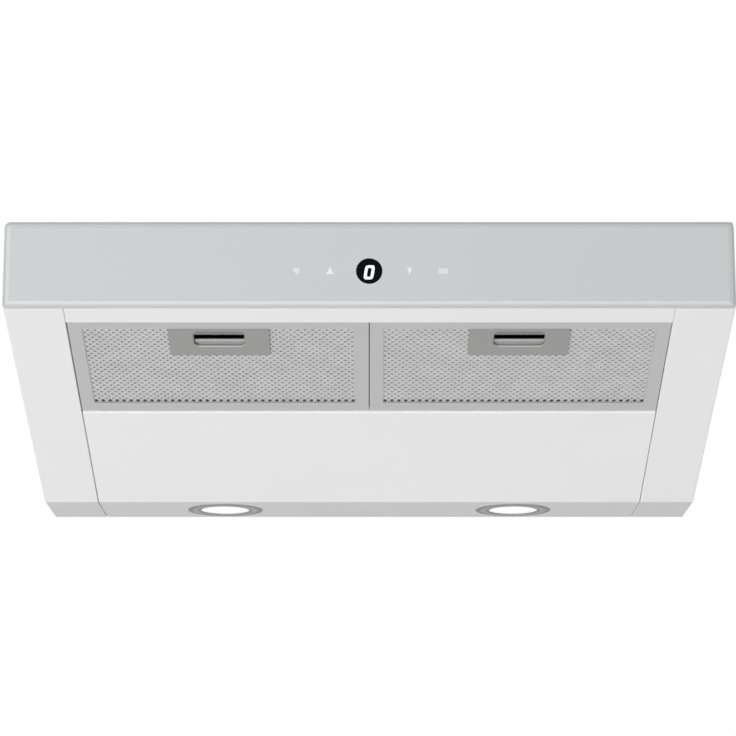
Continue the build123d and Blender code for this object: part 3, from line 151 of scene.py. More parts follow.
scoop = {"depth": 0.9, "length": 6.3}                # ramp of the finger slot
scoopTilt = hood["slope"] - math.atan2(scoop["depth"], scoop["length"])     # the ramp against the level
finishLooks = {
    "whitePaint": {"tone": (0.845, 0.845, 0.849), "spread": 0.008, "rough": 0.75, "specular": 0.2, "grain": 900.0,
                   "bump": 0.06},
    # front-facing faces of the light panel take painted shade
    "lampPanelPaint": {"tone": (0.85, 0.85, 0.855), "spread": 0.008, "rough": 0.75, "specular": 0.2, "grain": 900.0,
                       "bump": 0.06, "paintedLightByFacing": {"way": (0, -1, 0), "from": 0.8, "to": 0.9, "share": 0.83}},
    "backPaintedGlass": {"tone": (0.494, 0.519, 0.524), "spread": 0.008, "rough": 0.05, "roughSpread": 0.01,
                         "cloud": 4.0, "grain": 60.0, "bump": 0.01, "ior": 1.52},
    # ground band: rougher finish, and a lighter tone that is painted light
    "glassBevel": {"tone": (0.513, 0.537, 0.537), "spread": 0.015, "rough": 0.4, "roughSpread": 0.04, "specular": 0.2,
                   "bump": 0.02},
    # outer band and edge: darker tone that is painted shade, and painted light on faces that look down
    "glassEdge": {"tone": (0.41, 0.427, 0.425), "spread": 0.03, "rough": 0.4, "roughSpread": 0.04, "specular": 0.2,
                  "bump": 0.02, "paintedLightByFacing": {"way": (0, 0, -1), "from": 0.8, "to": 0.9, "share": 1.7}},
    "iconPrint": {"tone": (0.615, 0.64, 0.64), "spread": 0.01, "rough": 0.25},
    "iconBright": {"tone": (0.70, 0.725, 0.725), "spread": 0.01, "rough": 0.25},
    "foamTape": {"tone": (0.04, 0.04, 0.042), "rough": 0.9, "grain": 1800.0, "bump": 0.4},
    "displayBlack": {"tone": (0.004, 0.004, 0.005), "spread": 0.1, "rough": 0.06, "roughSpread": 0.01, "bump": 0.01,
                     "specular": 0.02},
    "digitGlow": {"tone": (0.80, 0.81, 0.82), "spread": 0.01, "rough": 0.5, "specular": 0.1, "glow": 0.2},
    "boardGreen": {"tone": (0.012, 0.09, 0.03), "spread": 0.15, "rough": 0.35, "grain": 500.0, "bump": 0.2},
    "mouldedGrey": {"tone": (0.10, 0.105, 0.11), "rough": 0.5, "grain": 1400.0, "bump": 0.2},
    # faces of the frame that look forward along the slope take painted shade
    "filterAluminium": {"tone": (0.509, 0.509, 0.507), "spread": 0.03, "rough": 0.58, "metal": 0.35,
                        "stretch": (0.04, 1, 1), "grain": 2600.0, "bump": 0.15, "bumpDepth": 0.00005,
                        "paintedLightByFacing": {"way": (0, -math.cos(hood["slope"]), math.sin(hood["slope"])), "from": 0.9,
                                 "to": 0.95, "share": 0.4}},
    "meshAluminium": {"tone": (0.545, 0.545, 0.542), "spread": 0.05, "rough": 0.5, "metal": 0.4, "cloud": 60.0,
                      "grain": 2000.0, "bump": 0.15, "bumpDepth": 0.00005},
    # inner layers: the same aluminium, made lighter with painted light where the face layer shades them
    "innerAluminium": {"tone": (0.63, 0.63, 0.626), "spread": 0.06, "rough": 0.55, "metal": 0.3, "cloud": 60.0,
                       "grain": 2000.0, "bump": 0.15, "bumpDepth": 0.00005},
    # the ramp of the finger scoop takes painted shade
    "latchGrey": {"tone": (0.30, 0.297, 0.288), "spread": 0.02, "rough": 0.45, "grain": 1600.0, "bump": 0.18,
                  "paintedLightByFacing": {"way": (0, -math.sin(scoopTilt), -math.cos(scoopTilt)), "from": 0.9925, "to": 0.996,
                           "share": 0.62}},
    "pullGrey": {"tone": (0.36, 0.355, 0.346), "spread": 0.02, "rough": 0.45, "grain": 1600.0, "bump": 0.18},
    "springSteel": {"tone": (0.55, 0.56, 0.58), "rough": 0.25, "metal": 1.0, "stretch": (0.1, 1, 1)},
    "lampRing": {"tone": (0.37, 0.37, 0.364), "spread": 0.03, "rough": 0.55, "metal": 0.3, "grain": 1500.0,
                 "bump": 0.08, "bumpDepth": 0.00005,
                 # bands of painted light and shade round the lens, darker and lighter by distance from its axis
                 "rings": [(22.7, 0.66), (25.6, 0.68), (26.8, 1.0), (29.8, 0.96), (31.2, 0.58), (33.6, 0.58),
                           (35.0, 0.85)]},
    "lampGlow": {"tone": (0.97, 0.97, 0.96), "spread": 0.01, "rough": 0.45, "specular": 0.2, "glow": 0.35},
    "sinkAluminium": {"tone": (0.30, 0.31, 0.32), "spread": 0.06, "rough": 0.5, "metal": 1.0, "bump": 0.25},
    "blowerBlack": {"tone": (0.022, 0.022, 0.024), "spread": 0.1, "rough": 0.45, "grain": 1200.0, "bump": 0.2},
    "motorSteel": {"tone": (0.05, 0.052, 0.06), "spread": 0.08, "rough": 0.35, "metal": 0.4},
    "bushRubber": {"tone": (0.012, 0.012, 0.012), "spread": 0.1, "rough": 0.85, "bump": 0.3},
    "zincSteel": {"tone": (0.46, 0.47, 0.48), "spread": 0.06, "rough": 0.35, "metal": 0.8, "cloud": 90.0},
    "collarBlack": {"tone": (0.022, 0.022, 0.024), "spread": 0.1, "rough": 0.42, "grain": 1200.0, "bump": 0.2},
    "flapAluminium": {"tone": (0.44, 0.445, 0.45), "spread": 0.05, "rough": 0.4, "metal": 0.6,
                      "stretch": (0.05, 1, 1), "grain": 2200.0},
    "controlWhite": {"tone": (0.63, 0.63, 0.60), "spread": 0.02, "rough": 0.5, "grain": 1300.0, "bump": 0.15},
    "capacitorWhite": {"tone": (0.70, 0.70, 0.67), "spread": 0.02, "rough": 0.28},
    "glandGrey": {"tone": (0.15, 0.155, 0.16), "spread": 0.04, "rough": 0.5, "grain": 1500.0, "bump": 0.2},
    "leadWhite": {"tone": (0.62, 0.62, 0.60), "spread": 0.02, "rough": 0.42, "grain": 300.0},
}
finishes = {name: makeFinish(name, look) for name, look in finishLooks.items()}

nodeFinishes = {
    "whitePaint": ["top_panel", "back_panel", "front_tray", "front_crossbar", "side_panel_left", "side_panel_right"],
    "lampPanelPaint": ["light_panel"],
    "backPaintedGlass": ["front_glass"],
    "foamTape": ["glass_tape"],
    "displayBlack": ["display_lens", "digit_display"],
    "boardGreen": ["touch_board", "power_board"],
    "mouldedGrey": ["touch_holder", "terminal_block"],
    "filterAluminium": ["filter_frame_left", "filter_frame_right"],
    "meshAluminium": ["filter_face_left", "filter_face_right"],
    "innerAluminium": ["filter_core_left", "filter_core_right"],
    "latchGrey": ["latch_housing_left", "latch_housing_right"],
    "pullGrey": ["latch_slide_left", "latch_slide_right"],
    "springSteel": ["latch_spring_left", "latch_spring_right", "lamp_clips_left", "lamp_clips_right", "flap_pin"],
    "lampRing": ["lamp_bezel_left", "lamp_bezel_right"],
    "lampGlow": ["lamp_lens_left", "lamp_lens_right"],
    "sinkAluminium": ["lamp_body_left", "lamp_body_right"],
    "blowerBlack": ["scroll_left_half", "scroll_right_half", "impeller", "inlet_guard"],
    "motorSteel": ["motor_housing"],
    "bushRubber": ["motor_bushes"],
    "zincSteel": ["motor_shaft", "motor_bearings", "motor_bracket", "motor_screws", "panel_screws", "top_screws",
                  "capacitor_strap"],
    "collarBlack": ["duct_collar"],
    "flapAluminium": ["front_flap", "rear_flap"],
    "controlWhite": ["control_box", "control_lid", "lamp_driver"],
    "capacitorWhite": ["capacitor"],
    "glandGrey": ["cable_gland", "gland_nut"],
    "leadWhite": ["wiring_harness"],
}
for finish, names in nodeFinishes.items():
    for name in names:
        nodes[name].data.materials.clear()
        nodes[name].data.materials.append(finishes[finish])
print("finishes:", len(finishes), "nodes dressed:", sum(len(names) for names in nodeFinishes.values()))


def makePiece(name, points, faces, finishNames, body, replaced=(), faceFinish=None, smooth=False):
    surface = bpy.data.meshes.new(name)
    surface.from_pydata((np.asarray(points) * mm).tolist(), [], faces)
    for finish in finishNames:
        surface.materials.append(finishes[finish])
    if faceFinish is not None:
        surface.polygons.foreach_set("material_index", np.asarray(faceFinish, dtype=np.int32))
    surface.polygons.foreach_set("use_smooth", np.full(len(surface.polygons), smooth))
    surface.update()
    piece = bpy.data.objects.new(name, surface)
    bpy.context.scene.collection.objects.link(piece)
    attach(piece, body)
    if replaced:
        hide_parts(*replaced)
    return piece


def gridFaces(rows, columns, closeRows=False, closeColumns=False):
    # quads between neighbouring rows and columns of a grid of points
    r = np.arange(rows if closeRows else rows - 1)[:, None]
    c = np.arange(columns if closeColumns else columns - 1)[None, :]
    nextR = (r + 1) % rows
    nextC = (c + 1) % columns
    quads = np.stack([r * columns + c, r * columns + nextC, nextR * columns + nextC, nextR * columns + c], axis=-1)
    return quads.reshape(-1, 4)


# corners of a box run x first, then y, then z
boxFaces = np.array([[0, 1, 3, 2], [4, 6, 7, 5], [0, 4, 5, 1], [2, 3, 7, 6], [0, 2, 6, 4], [1, 5, 7, 3]])


def slopePoints(x, along, lift):
    # a point of the sloping underside: along runs down the slope from the glass, lift goes up into the hood
    y = hood["bodyY"] + along * math.cos(hood["slope"]) + lift * math.sin(hood["slope"])
    z = hood["glassLow"] - along * math.sin(hood["slope"]) + lift * math.cos(hood["slope"])
    return np.stack(np.broadcast_arrays(x, y, z), axis=-1)


# glass front

glassPane = {
    "halfWidth": 299.0,
    "topCorner": 5.0,
    "lowCorner": 2.0,
    "thick": 5.0,
    "bevel": 5.0,           # width of the ground band
    "bevelDepth": 1.2,
    "edgeBand": 2.2,        # darker outer part of that band, with painted shade
    "hole": 10.8,
    "leastCorner": 0.4,     # rounding that is left on the inner outlines
    "spacing": 4.0,         # points along the long edges
    "sideSteps": 18,
    "cornerSteps": 9,
}


def paneOutline(inset):
    # rounded rectangle: straight runs joined by quarter circles, each run divided evenly
    g = glassPane
    half = g["halfWidth"] - inset
    top = hood["glassTop"] - inset
    low = hood["glassLow"] + inset
    topR = max(g["topCorner"] - inset, g["leastCorner"])
    lowR = max(g["lowCorner"] - inset, g["leastCorner"])
    turn = np.linspace(0, math.pi / 2, g["cornerSteps"])
    corners = [(half - topR, top - topR, topR, 0), (-half + topR, top - topR, topR, 1),
               (-half + lowR, low + lowR, lowR, 2), (half - lowR, low + lowR, lowR, 3)]
    arcs = [np.stack([x + r * np.cos(turn + q * math.pi / 2), z + r * np.sin(turn + q * math.pi / 2)], axis=-1)
            for x, z, r, q in corners]
    longSteps = int(2 * g["halfWidth"] / g["spacing"])
    steps = [longSteps, g["sideSteps"], longSteps, g["sideSteps"]]
    runs = []
    for q in range(4):
        start, end = arcs[q][-1], arcs[(q + 1) % 4][0]
        t = np.linspace(0, 1, steps[q] + 1)[1:-1, None]
        runs += [arcs[q], start + (end - start) * t]
    return np.concatenate(runs)


def makeGlass():
    # rings carried from the display hole over the face, the bevel, the edge and the back to the hole again
    g = glassPane
    outer = paneOutline(0)
    band = paneOutline(g["edgeBand"])
    inner = paneOutline(g["bevel"])
    bearing = np.arctan2(inner[:, 1] - hood["displayZ"], inner[:, 0])
    hole = np.stack([g["hole"] * np.cos(bearing), hood["displayZ"] + g["hole"] * np.sin(bearing)], axis=-1)
    bandDepth = g["bevelDepth"] * (1 - g["edgeBand"] / g["bevel"])
    rings = [(hole, g["thick"]), (hole, 0), (inner, 0), (band, bandDepth), (outer, g["bevelDepth"]),
             (outer, g["thick"])]
    points = np.stack([np.stack([ring[:, 0], np.full(len(ring), hood["frontY"] + depth), ring[:, 1]], axis=-1)
                       for ring, depth in rings])
    faces = gridFaces(len(rings), len(outer), closeRows=True, closeColumns=True)[:, ::-1]
    face, bevel, edge = 0, 1, 2     # places in the list of finishes
    kinds = np.repeat([edge, face, bevel, edge, edge, face], len(outer))
    makePiece("glassPane", points.reshape(-1, 3), faces.tolist(),
              ["backPaintedGlass", "glassBevel", "glassEdge"], "housing", ["front_glass"], kinds)


makeGlass()
print("glass front made")

# display digit and printed marks

digit = {
    "width": 8.0,
    "height": 11.9,
    "strokeX": 2.4,         # upright strokes
    "strokeZ": 2.2,         # level strokes
    "slant": 0.15,
    "drop": 1.1,            # below the middle of the display
    "proud": 0.15,
    "power": 4.5,           # 2 is an ellipse, more is squarer
    "steps": 120,
}


def makeDigit():
    # nought: a band between two rounded ovals, leant over by the slant, with a flat face and a back
    turn = np.linspace(0, 2 * math.pi, digit["steps"], endpoint=False)
    power = digit["power"]
    reach = (np.abs(np.cos(turn)) ** power + np.abs(np.sin(turn)) ** power) ** (-1 / power)
    outer, inner = np.array([[digit["width"], digit["height"]],
                             [digit["width"] - 2 * digit["strokeX"], digit["height"] - 2 * digit["strokeZ"]]]) / 2
    face = -digit["proud"]
    rings = []
    for half, depth in [(outer, 0.0), (outer, face), (inner, face), (inner, 0.0)]:
        z = half[1] * reach * np.sin(turn)
        x = half[0] * reach * np.cos(turn) + digit["slant"] * z
        rings.append(np.stack([x, np.full_like(x, hood["frontY"] + depth), hood["displayZ"] - digit["drop"] + z],
                              axis=-1))
    points = np.stack(rings).reshape(-1, 3)
    faces = gridFaces(len(rings), digit["steps"], closeRows=True, closeColumns=True)
    makePiece("displayDigit", points, faces.tolist(), ["digitGlow"], "housing")


# each mark has its place across the glass, its outline and its finish
touchMarks = {
    "proud": 0.08,
    "markSquare": (-59.6, [(-2.6, 0.0), (0.6, -2.6), (2.6, -2.6), (2.6, 2.6), (-2.6, 2.6)], "iconPrint"),
    "markUp": (-32.0, [(-3.2, -2.6), (3.2, -2.6), (0.0, 3.6)], "iconBright"),
    "markDown": (33.0, [(-2.0, 2.9), (0.0, -3.3), (2.0, 2.9)], "iconBright"),
    "markBar": (60.3, [(-4.0, -2.3), (4.0, -2.3), (4.0, 2.3), (-4.0, 2.3)], "iconPrint"),
}


def makeMark(name):
    # small printed plate: its outline on the glass and again just in front of it
    x, outline, finish = touchMarks[name]
    outline = np.array(outline)
    depths = np.array([0.0, -touchMarks["proud"]])[:, None]
    z = hood["displayZ"] + outline[:, 1]
    points = np.stack(np.broadcast_arrays(x + outline[:, 0], hood["frontY"] + depths, z), axis=-1)
    count = len(outline)
    faces = gridFaces(2, count, closeColumns=True).tolist()
    faces += [np.arange(count)[::-1].tolist(), np.arange(count, 2 * count).tolist()]
    makePiece(name, points.reshape(-1, 3), faces, [finish], "housing")


makeDigit()
for mark in ("markSquare", "markUp", "markDown", "markBar"):
    makeMark(mark)
print("digit and touch marks made")

# grease filters

weave = {
    "across": 6.0,          # pitch of the openings
    "along": 3.7,           # from row to row, each row moved by half a pitch
    "thick": 0.4,
    "halfX": 122.8,
    "length": 144.4,
    "inset": 1.6,
    "latchX": 41.9,         # openings nearer than this to the latch are left out
    "latchY": 51.4,
    "lastRow": 127.7,       # middle of the last row that shows in front of the frame
    "strip": [(-42.4, 42.4), (2.0, 12.0), (0.85, 1.35)],    # unbroken sheet in front of the latch
}
# open is the opening against its cell, rearOpen the same in the last row, tilt how far the strands lean across it,
# rear how much shorter a layer is behind, and node what it replaces
layers = [
    {"name": "filterFace", "node": "filter_face_", "low": 0.9, "shift": (0.0, -1.8), "open": 0.56, "rearOpen": 0.76,
     "rear": 0.0, "tilt": 0.2, "finish": "meshAluminium"},
    {"name": "filterMeshA", "node": "filter_core_", "low": 2.2, "shift": (0.0, -2.8), "open": 0.45, "rearOpen": 0.45,
     "rear": 12.7, "tilt": 0.25, "finish": "innerAluminium"},
    {"name": "filterMeshB", "low": 4.6, "shift": (1.5, 0.0), "open": 0.45, "rearOpen": 0.45,
     "rear": 3.0, "tilt": 0.25, "finish": "innerAluminium"},
]


def makeMesh(layer, side, sign):
    # expanded sheet: a lattice of diamonds, each with a smaller diamond cut out, front and back and inner walls
    a = weave["across"] / 2
    b = weave["along"]
    columns = int(weave["halfX"] / a) + 2
    rows = int(weave["length"] / b) + 2
    i, j = np.meshgrid(np.arange(-columns, columns + 1), np.arange(rows), indexing="ij")
    i, j = i[(i + j) % 2 == 0], j[(i + j) % 2 == 0]     # every other place, so rows are staggered
    x = i * a + layer["shift"][0]
    y = j * b + layer["shift"][1]
    rear = weave["length"] - weave["inset"] - layer["rear"]
    inside = (np.abs(x) < weave["halfX"] - a) & (y > weave["inset"] + b) & (y < rear - b)
    inside &= ~((np.abs(x) < weave["latchX"]) & (y < weave["latchY"]))
    i, j, x, y = i[inside], j[inside], x[inside], y[inside]
    count = len(x)
    stepI = np.array([1, 0, -1, 0])
    stepJ = np.array([0, 1, 0, -1])
    margin = 2                                          # keeps every column and row above nought
    span = rows + 2 * margin
    keys = (i[:, None] + stepI + columns + margin) * span + (j[:, None] + stepJ + margin)
    unique, corner = np.unique(keys, return_inverse=True)   # neighbours share their corners
    corner = corner.reshape(count, 4)
    cornerI = unique // span - columns - margin
    cornerJ = unique % span - margin
    outerX = cornerI * a + layer["shift"][0]
    outerY = cornerJ * b + layer["shift"][1]
    inLastRow = np.abs(y - weave["lastRow"]) < b / 4
    opening = np.where(inLastRow, layer["rearOpen"], layer["open"])[:, None]
    innerX = (x[:, None] + stepI * a * opening).ravel()
    innerY = (y[:, None] + stepJ * b * opening).ravel()
    innerZ = np.broadcast_to(stepJ * layer["tilt"], (count, 4)).ravel()
    flatX = np.concatenate([outerX, innerX])
    flatY = np.concatenate([outerY, innerY])
    flatZ = np.concatenate([np.zeros(len(unique)), innerZ]) + layer["low"]
    total = len(flatX)
    under = slopePoints(sign * hood["filterX"] + flatX, hood["filterS"] + flatY, hood["recess"] + flatZ)
    upper = slopePoints(sign * hood["filterX"] + flatX, hood["filterS"] + flatY,
                        hood["recess"] + flatZ + weave["thick"])
    inner = len(unique) + np.arange(count * 4).reshape(count, 4)
    nextCorner = np.roll(corner, -1, axis=1)
    nextInner = np.roll(inner, -1, axis=1)
    below = np.stack([corner, inner, nextInner, nextCorner], axis=-1).reshape(-1, 4)
    above = below[:, ::-1] + total
    walls = np.stack([inner, inner + total, nextInner + total, nextInner], axis=-1).reshape(-1, 4)
    pairs = np.stack([corner, nextCorner], axis=-1).reshape(-1, 2)
    pairKeys = np.sort(pairs, axis=1) @ np.array([total, 1])
    kinds, copies = np.unique(pairKeys, return_counts=True)
    edge = pairs[np.isin(pairKeys, kinds[copies == 1])]     # sides of one cell only make the sheet's edge
    outside = np.stack([edge[:, 0], edge[:, 1], edge[:, 1] + total, edge[:, 0] + total], axis=-1)
    faces = np.concatenate([below, above, walls, outside])
    points = np.concatenate([under, upper])
    if layer["name"] == "filterFace":
        x, y, z = (part.ravel() for part in np.meshgrid(*weave["strip"], indexing="ij"))
        strip = slopePoints(sign * hood["filterX"] + x, hood["filterS"] + y, hood["recess"] + z)
        faces = np.concatenate([faces, boxFaces + len(points)])
        points = np.concatenate([points, strip])
    replaced = [layer["node"] + side] if "node" in layer else []
    return makePiece(layer["name"] + side.capitalize(), points, faces.tolist(),
                     [layer["finish"]], "filter_" + side, replaced)


for side, sign in (("left", -1), ("right", 1)):
    for layer in layers:
        piece = makeMesh(layer, side, sign)
    print("filter mesh", side, "faces in last layer:", len(piece.data.polygons))

# lamp lenses

# radius and height of each ring, down from the top
lampLens = {
    "steps": 72,
    "profile": [(28.2, 1.9), (28.2, 0.1), (22.6, 0.1), (22.4, 0.0), (18.0, -0.1), (12.0, -0.18), (6.0, -0.22)],
    "poleLow": -0.24,
}


def makeLens(side, sign):
    # profile turned round the lamp's axis, with a point at the top and one at the crown
    turn = np.linspace(0, 2 * math.pi, lampLens["steps"], endpoint=False)
    profile = np.array(lampLens["profile"])
    ring = np.stack(np.broadcast_arrays(profile[:, :1] * np.cos(turn) + sign * hood["lampX"],
                                        profile[:, :1] * np.sin(turn) + hood["lampY"],
                                        profile[:, 1:] + hood["flatZ"]), axis=-1).reshape(-1, 3)
    poles = np.array([[sign * hood["lampX"], hood["lampY"], hood["flatZ"] + profile[0, 1]],
                      [sign * hood["lampX"], hood["lampY"], hood["flatZ"] + lampLens["poleLow"]]])
    count = len(turn)
    faces = gridFaces(len(profile), count, closeColumns=True)[:, ::-1].tolist()
    here = np.arange(count)
    following = (here + 1) % count
    last = (len(profile) - 1) * count
    faces += np.stack([here, following, np.full(count, len(ring))], axis=-1).tolist()
    faces += np.stack([last + following, last + here, np.full(count, len(ring) + 1)], axis=-1).tolist()
    makePiece("lampLens" + side.capitalize(), np.concatenate([ring, poles]), faces, ["lampGlow"], "housing",
              ["lamp_lens_" + side], smooth=True)


for side, sign in (("left", -1), ("right", 1)):
    makeLens(side, sign)
print("lamp lenses made")

# screws

screw = {
    "sides": 40,
    "head": [(3.2, 0.0), (3.9, 0.35), (3.95, 0.9), (3.6, 1.45), (3.0, 1.75), (2.5, 1.9), (2.0, 1.95), (1.5, 1.98),
             (1.0, 2.0), (0.5, 2.0)],
    "shank": 1.7,
    "tip": 0.4,             # radius at the end of the shank
    "taper": 1.1,
    "arm": 0.55,            # half the width of the cross
    "reach": 2.3,
    "deep": 1.1,
    "crossLow": 1.0,        # only points above this are sunk
}


def screwPoints(length):
    # head, shank and tapered tip turned round Z, with the cross sunk where a point lies near either arm
    profile = np.array([(screw["tip"], -length), (screw["shank"], screw["taper"] - length), (screw["shank"], 0.0)]
                       + screw["head"])
    turn = np.linspace(0, 2 * math.pi, screw["sides"], endpoint=False)
    x = profile[:, :1] * np.cos(turn)
    y = profile[:, :1] * np.sin(turn)
    z = np.repeat(profile[:, 1:], len(turn), axis=1)
    inCross = (np.minimum(abs(x), abs(y)) < screw["arm"]) & (np.hypot(x, y) < screw["reach"])
    z = np.where(inCross & (z > screw["crossLow"]), z - screw["deep"], z)
    rings = np.stack([x, y, z], axis=-1).reshape(-1, 3)
    return np.concatenate([rings, [(0, 0, -length), (0, 0, screw["head"][-1][1] - screw["deep"])]])


def screwFaces(points):
    # quads between the rings, and a fan to the point at either end
    sides = screw["sides"]
    rows = (len(points) - 2) // sides
    here = np.arange(sides)
    following = (here + 1) % sides
    last = (rows - 1) * sides
    fans = np.concatenate([np.stack([following, here, np.full(sides, rows * sides)], axis=-1),
                           np.stack([last + here, last + following, np.full(sides, rows * sides + 1)], axis=-1)])
    return gridFaces(rows, sides, closeColumns=True), fans


collarScrew = {"middleY": 128.5, "reach": 58.0, "seatZ": 3.0, "length": 7.0}
boxScrew = {"x": 185.0, "ends": (-29.5, 89.5), "seatZ": -3.0, "length": 3.0}
motorScrew = {"seatX": 60.5, "axisY": 95.98, "axisZ": -72.0, "reach": 54.0, "turns": (30.0, 150.0, 270.0),
              "length": 5.5}
panelScrew = {"seatX": 248.25, "along": 191.9, "lift": 8.0, "rearZ": -172.0, "length": 2.75}


# seats: where a screw's head sits, which way it looks and how long the shank is

def topSeats():
    # four round the duct collar, looking up, and one at either end of the control box, looking down
    reach = collarScrew["reach"]
    seats = [((x, collarScrew["middleY"] + y, collarScrew["seatZ"]), (0, 0, 1), collarScrew["length"])
             for x in (-reach, reach) for y in (-reach, reach)]
    return seats + [((boxScrew["x"], y, boxScrew["seatZ"]), (0, 0, -1), boxScrew["length"]) for y in boxScrew["ends"]]


def motorSeats():
    # one in the eye of each arm of the bracket, on a circle round the motor's axis
    turns = np.radians(motorScrew["turns"])
    across = motorScrew["axisY"] + motorScrew["reach"] * np.cos(turns)
    high = motorScrew["axisZ"] + motorScrew["reach"] * np.sin(turns)
    return [((motorScrew["seatX"], y, z), (1, 0, 0), motorScrew["length"]) for y, z in zip(across, high)]


def panelSeats():
    # two on either side of the light panel, one on its slope and one beside the lamp
    y, z = slopePoints(0.0, panelScrew["along"], panelScrew["lift"])[1:]
    return [((side * panelScrew["seatX"], *seat), (-side, 0, 0), panelScrew["length"])
            for side in (-1, 1) for seat in ((y, z), (hood["lampY"], panelScrew["rearZ"]))]


screwSets = {
    "topScrews": {"node": "top_screws", "seats": topSeats()},
    "motorScrews": {"node": "motor_screws", "seats": motorSeats()},
    "panelScrews": {"node": "panel_screws", "seats": panelSeats()},
}


def makeScrews(name):
    # each screw turned so that its head looks the given way, then carried to its seat
    points, faces, start = [], [], 0
    for place, way, length in screwSets[name]["seats"]:
        ahead = np.array(way, float)
        across = np.array([0.0, 1.0, 0.0])
        local = screwPoints(length)
        quads, fans = screwFaces(local)
        points.append(local @ np.stack([across, np.cross(ahead, across), ahead]) + np.array(place))
        faces += (quads + start).tolist() + (fans + start).tolist()
        start += len(local)
    makePiece(name, np.concatenate(points), faces, ["zincSteel"], "housing", [screwSets[name]["node"]])


for name in screwSets:
    makeScrews(name)
print("screws made")

# wiring

wiring = {
    "radius": 2.5,
    "sides": 12,
    "order": 3,             # of the spline
    "resolution": 16,
    "aside": (0.6, 0.64, 0.48),     # a direction that no lead runs in
    "leads": {
        "leadTouch": [(0, -195.9, -42.8), (0, -170.9, -42.8), (0, -170.9, -3.5), (155, -170.9, -3.5),
                      (155, -25, -3.5)],
        "leadMotor": [(58, 95.98, -72), (88, 95.98, -72), (88, 95.98, -18), (112.5, 60, -18), (137, 60, -18)],
        "leadLampLeft": [(-190, 78, -13), (-190, 161.5, -13), (-135, 161.5, -13), (-135, 161.5, -154)],
        "leadLampRight": [(-185, 78, -20), (-185, 186.5, -20), (135, 186.5, -20), (135, 161.5, -20),
                          (135, 161.5, -154)],
        "leadDriver": [(137, 53.75, -13), (50, 53.75, -13), (-80, 53.75, -13), (-169, 53.75, -13)],
        "leadSupply": [(180, 111, -13), (180, 102, -13), (180, 94, -13), (180, 85, -13)],
    },
}


def splinePoints(route):
    # smooth line through a lead's route, read from a spline with no bevel
    curve = bpy.data.curves.new("route", "CURVE")
    curve.dimensions = "3D"
    curve.resolution_u = wiring["resolution"]
    spline = curve.splines.new("NURBS")
    spline.points.add(len(route) - 1)
    spline.points.foreach_set("co", np.c_[np.array(route, float), np.ones(len(route))].ravel())
    spline.order_u = wiring["order"]
    spline.use_endpoint_u = True
    holder = bpy.data.objects.new("route", curve)
    bpy.context.scene.collection.objects.link(holder)
    bpy.context.view_layer.update()
    line = bpy.data.meshes.new_from_object(holder)
    points = np.zeros(len(line.vertices) * 3)
    line.vertices.foreach_get("co", points)
    bpy.data.objects.remove(holder)
    bpy.data.curves.remove(curve)
    bpy.data.meshes.remove(line)
    return points.reshape(-1, 3)


def tubePoints(path):
    # circle carried along a path, square to its direction
    ahead = np.gradient(path, axis=0)
    ahead /= np.linalg.norm(ahead, axis=1, keepdims=True)
    across = np.cross(ahead, np.array(wiring["aside"]))
    across /= np.linalg.norm(across, axis=1, keepdims=True)
    up = np.cross(ahead, across)
    turn = np.linspace(0, 2 * math.pi, wiring["sides"], endpoint=False)
    ring = across[:, None] * np.cos(turn)[None, :, None] + up[:, None] * np.sin(turn)[None, :, None]
    return path[:, None] + wiring["radius"] * ring


def makeWiring():
    # one tube for each lead, closed by a flat face at either end
    points, faces, start = [], [], 0
    sides = wiring["sides"]
    for route in wiring["leads"].values():
        tube = tubePoints(splinePoints(route))
        rows = len(tube)
        points.append(tube.reshape(-1, 3))
        faces += (gridFaces(rows, sides, closeColumns=True) + start).tolist()
        ring = start + np.arange(sides)
        faces += [ring[::-1].tolist(), (ring + (rows - 1) * sides).tolist()]
        start += rows * sides
    makePiece("wiringLeads", np.concatenate(points), faces, ["leadWhite"], "housing",
              ["wiring_harness"], smooth=True)


makeWiring()
print("wiring made")

# stage, lights and camera

# the camera looks up by the pitch, and the focal length is in pixels of the picture
view = {"place": (-0.001, -2.3065, -0.588), "pitch": 12.44, "focalPixels": 2660.0, "imagePixels": 736.0,
        "sensor": 36.0}
camera = bpy.data.cameras.new("camera")
camera.sensor_width = view["sensor"]
camera.lens = view["sensor"] * view["focalPixels"] / view["imagePixels"]
cameraHolder = bpy.data.objects.new("camera", camera)
cameraHolder.location = view["place"]
cameraHolder.rotation_euler = (math.radians(90.0 + view["pitch"]), 0, 0)
bpy.context.scene.collection.objects.link(cameraHolder)
bpy.context.scene.camera = cameraHolder

lights = {
    "keyLight": {"kind": "SUN", "place": (-0.4, -3.4, -1.8), "aim": (0, 0, -0.1), "spread": 25.0, "power": 2.68},
    "fillLight": {"kind": "AREA", "place": (-2.0, -2.4, -1.4), "aim": (0, 0, -0.1), "size": 1.2, "power": 28.0},
    "sideLight": {"kind": "AREA", "place": (-1.6, -1.7, 0.7), "aim": (-0.2, -0.2, -0.05), "size": 0.9, "power": 11.0},
    "topLight": {"kind": "AREA", "place": (0.4, 0.6, 2.4), "aim": (0, 0, 0), "size": 1.6, "power": 40.0},
    "backLight": {"kind": "AREA", "place": (1.6, 2.2, 0.7), "aim": (0, 0, -0.1), "size": 1.4, "power": 40.0},
}
for name, light in lights.items():
    lamp = bpy.data.lights.new(name, light["kind"])
    if light["kind"] == "SUN":
        lamp.angle = math.radians(light["spread"])
    else:
        lamp.shape = "DISK"
        lamp.size = light["size"]
    lamp.energy = light["power"]
    holder = bpy.data.objects.new(name, lamp)
    place = np.array(light["place"])
    toward = np.array(light["aim"]) - place
    flat = math.hypot(toward[0], toward[1])
    holder.location = light["place"]
    holder.rotation_euler = (math.atan2(flat, -toward[2]), 0, math.atan2(toward[1], toward[0]) - math.pi / 2)
    holder.visible_camera = False
    bpy.context.scene.collection.objects.link(holder)

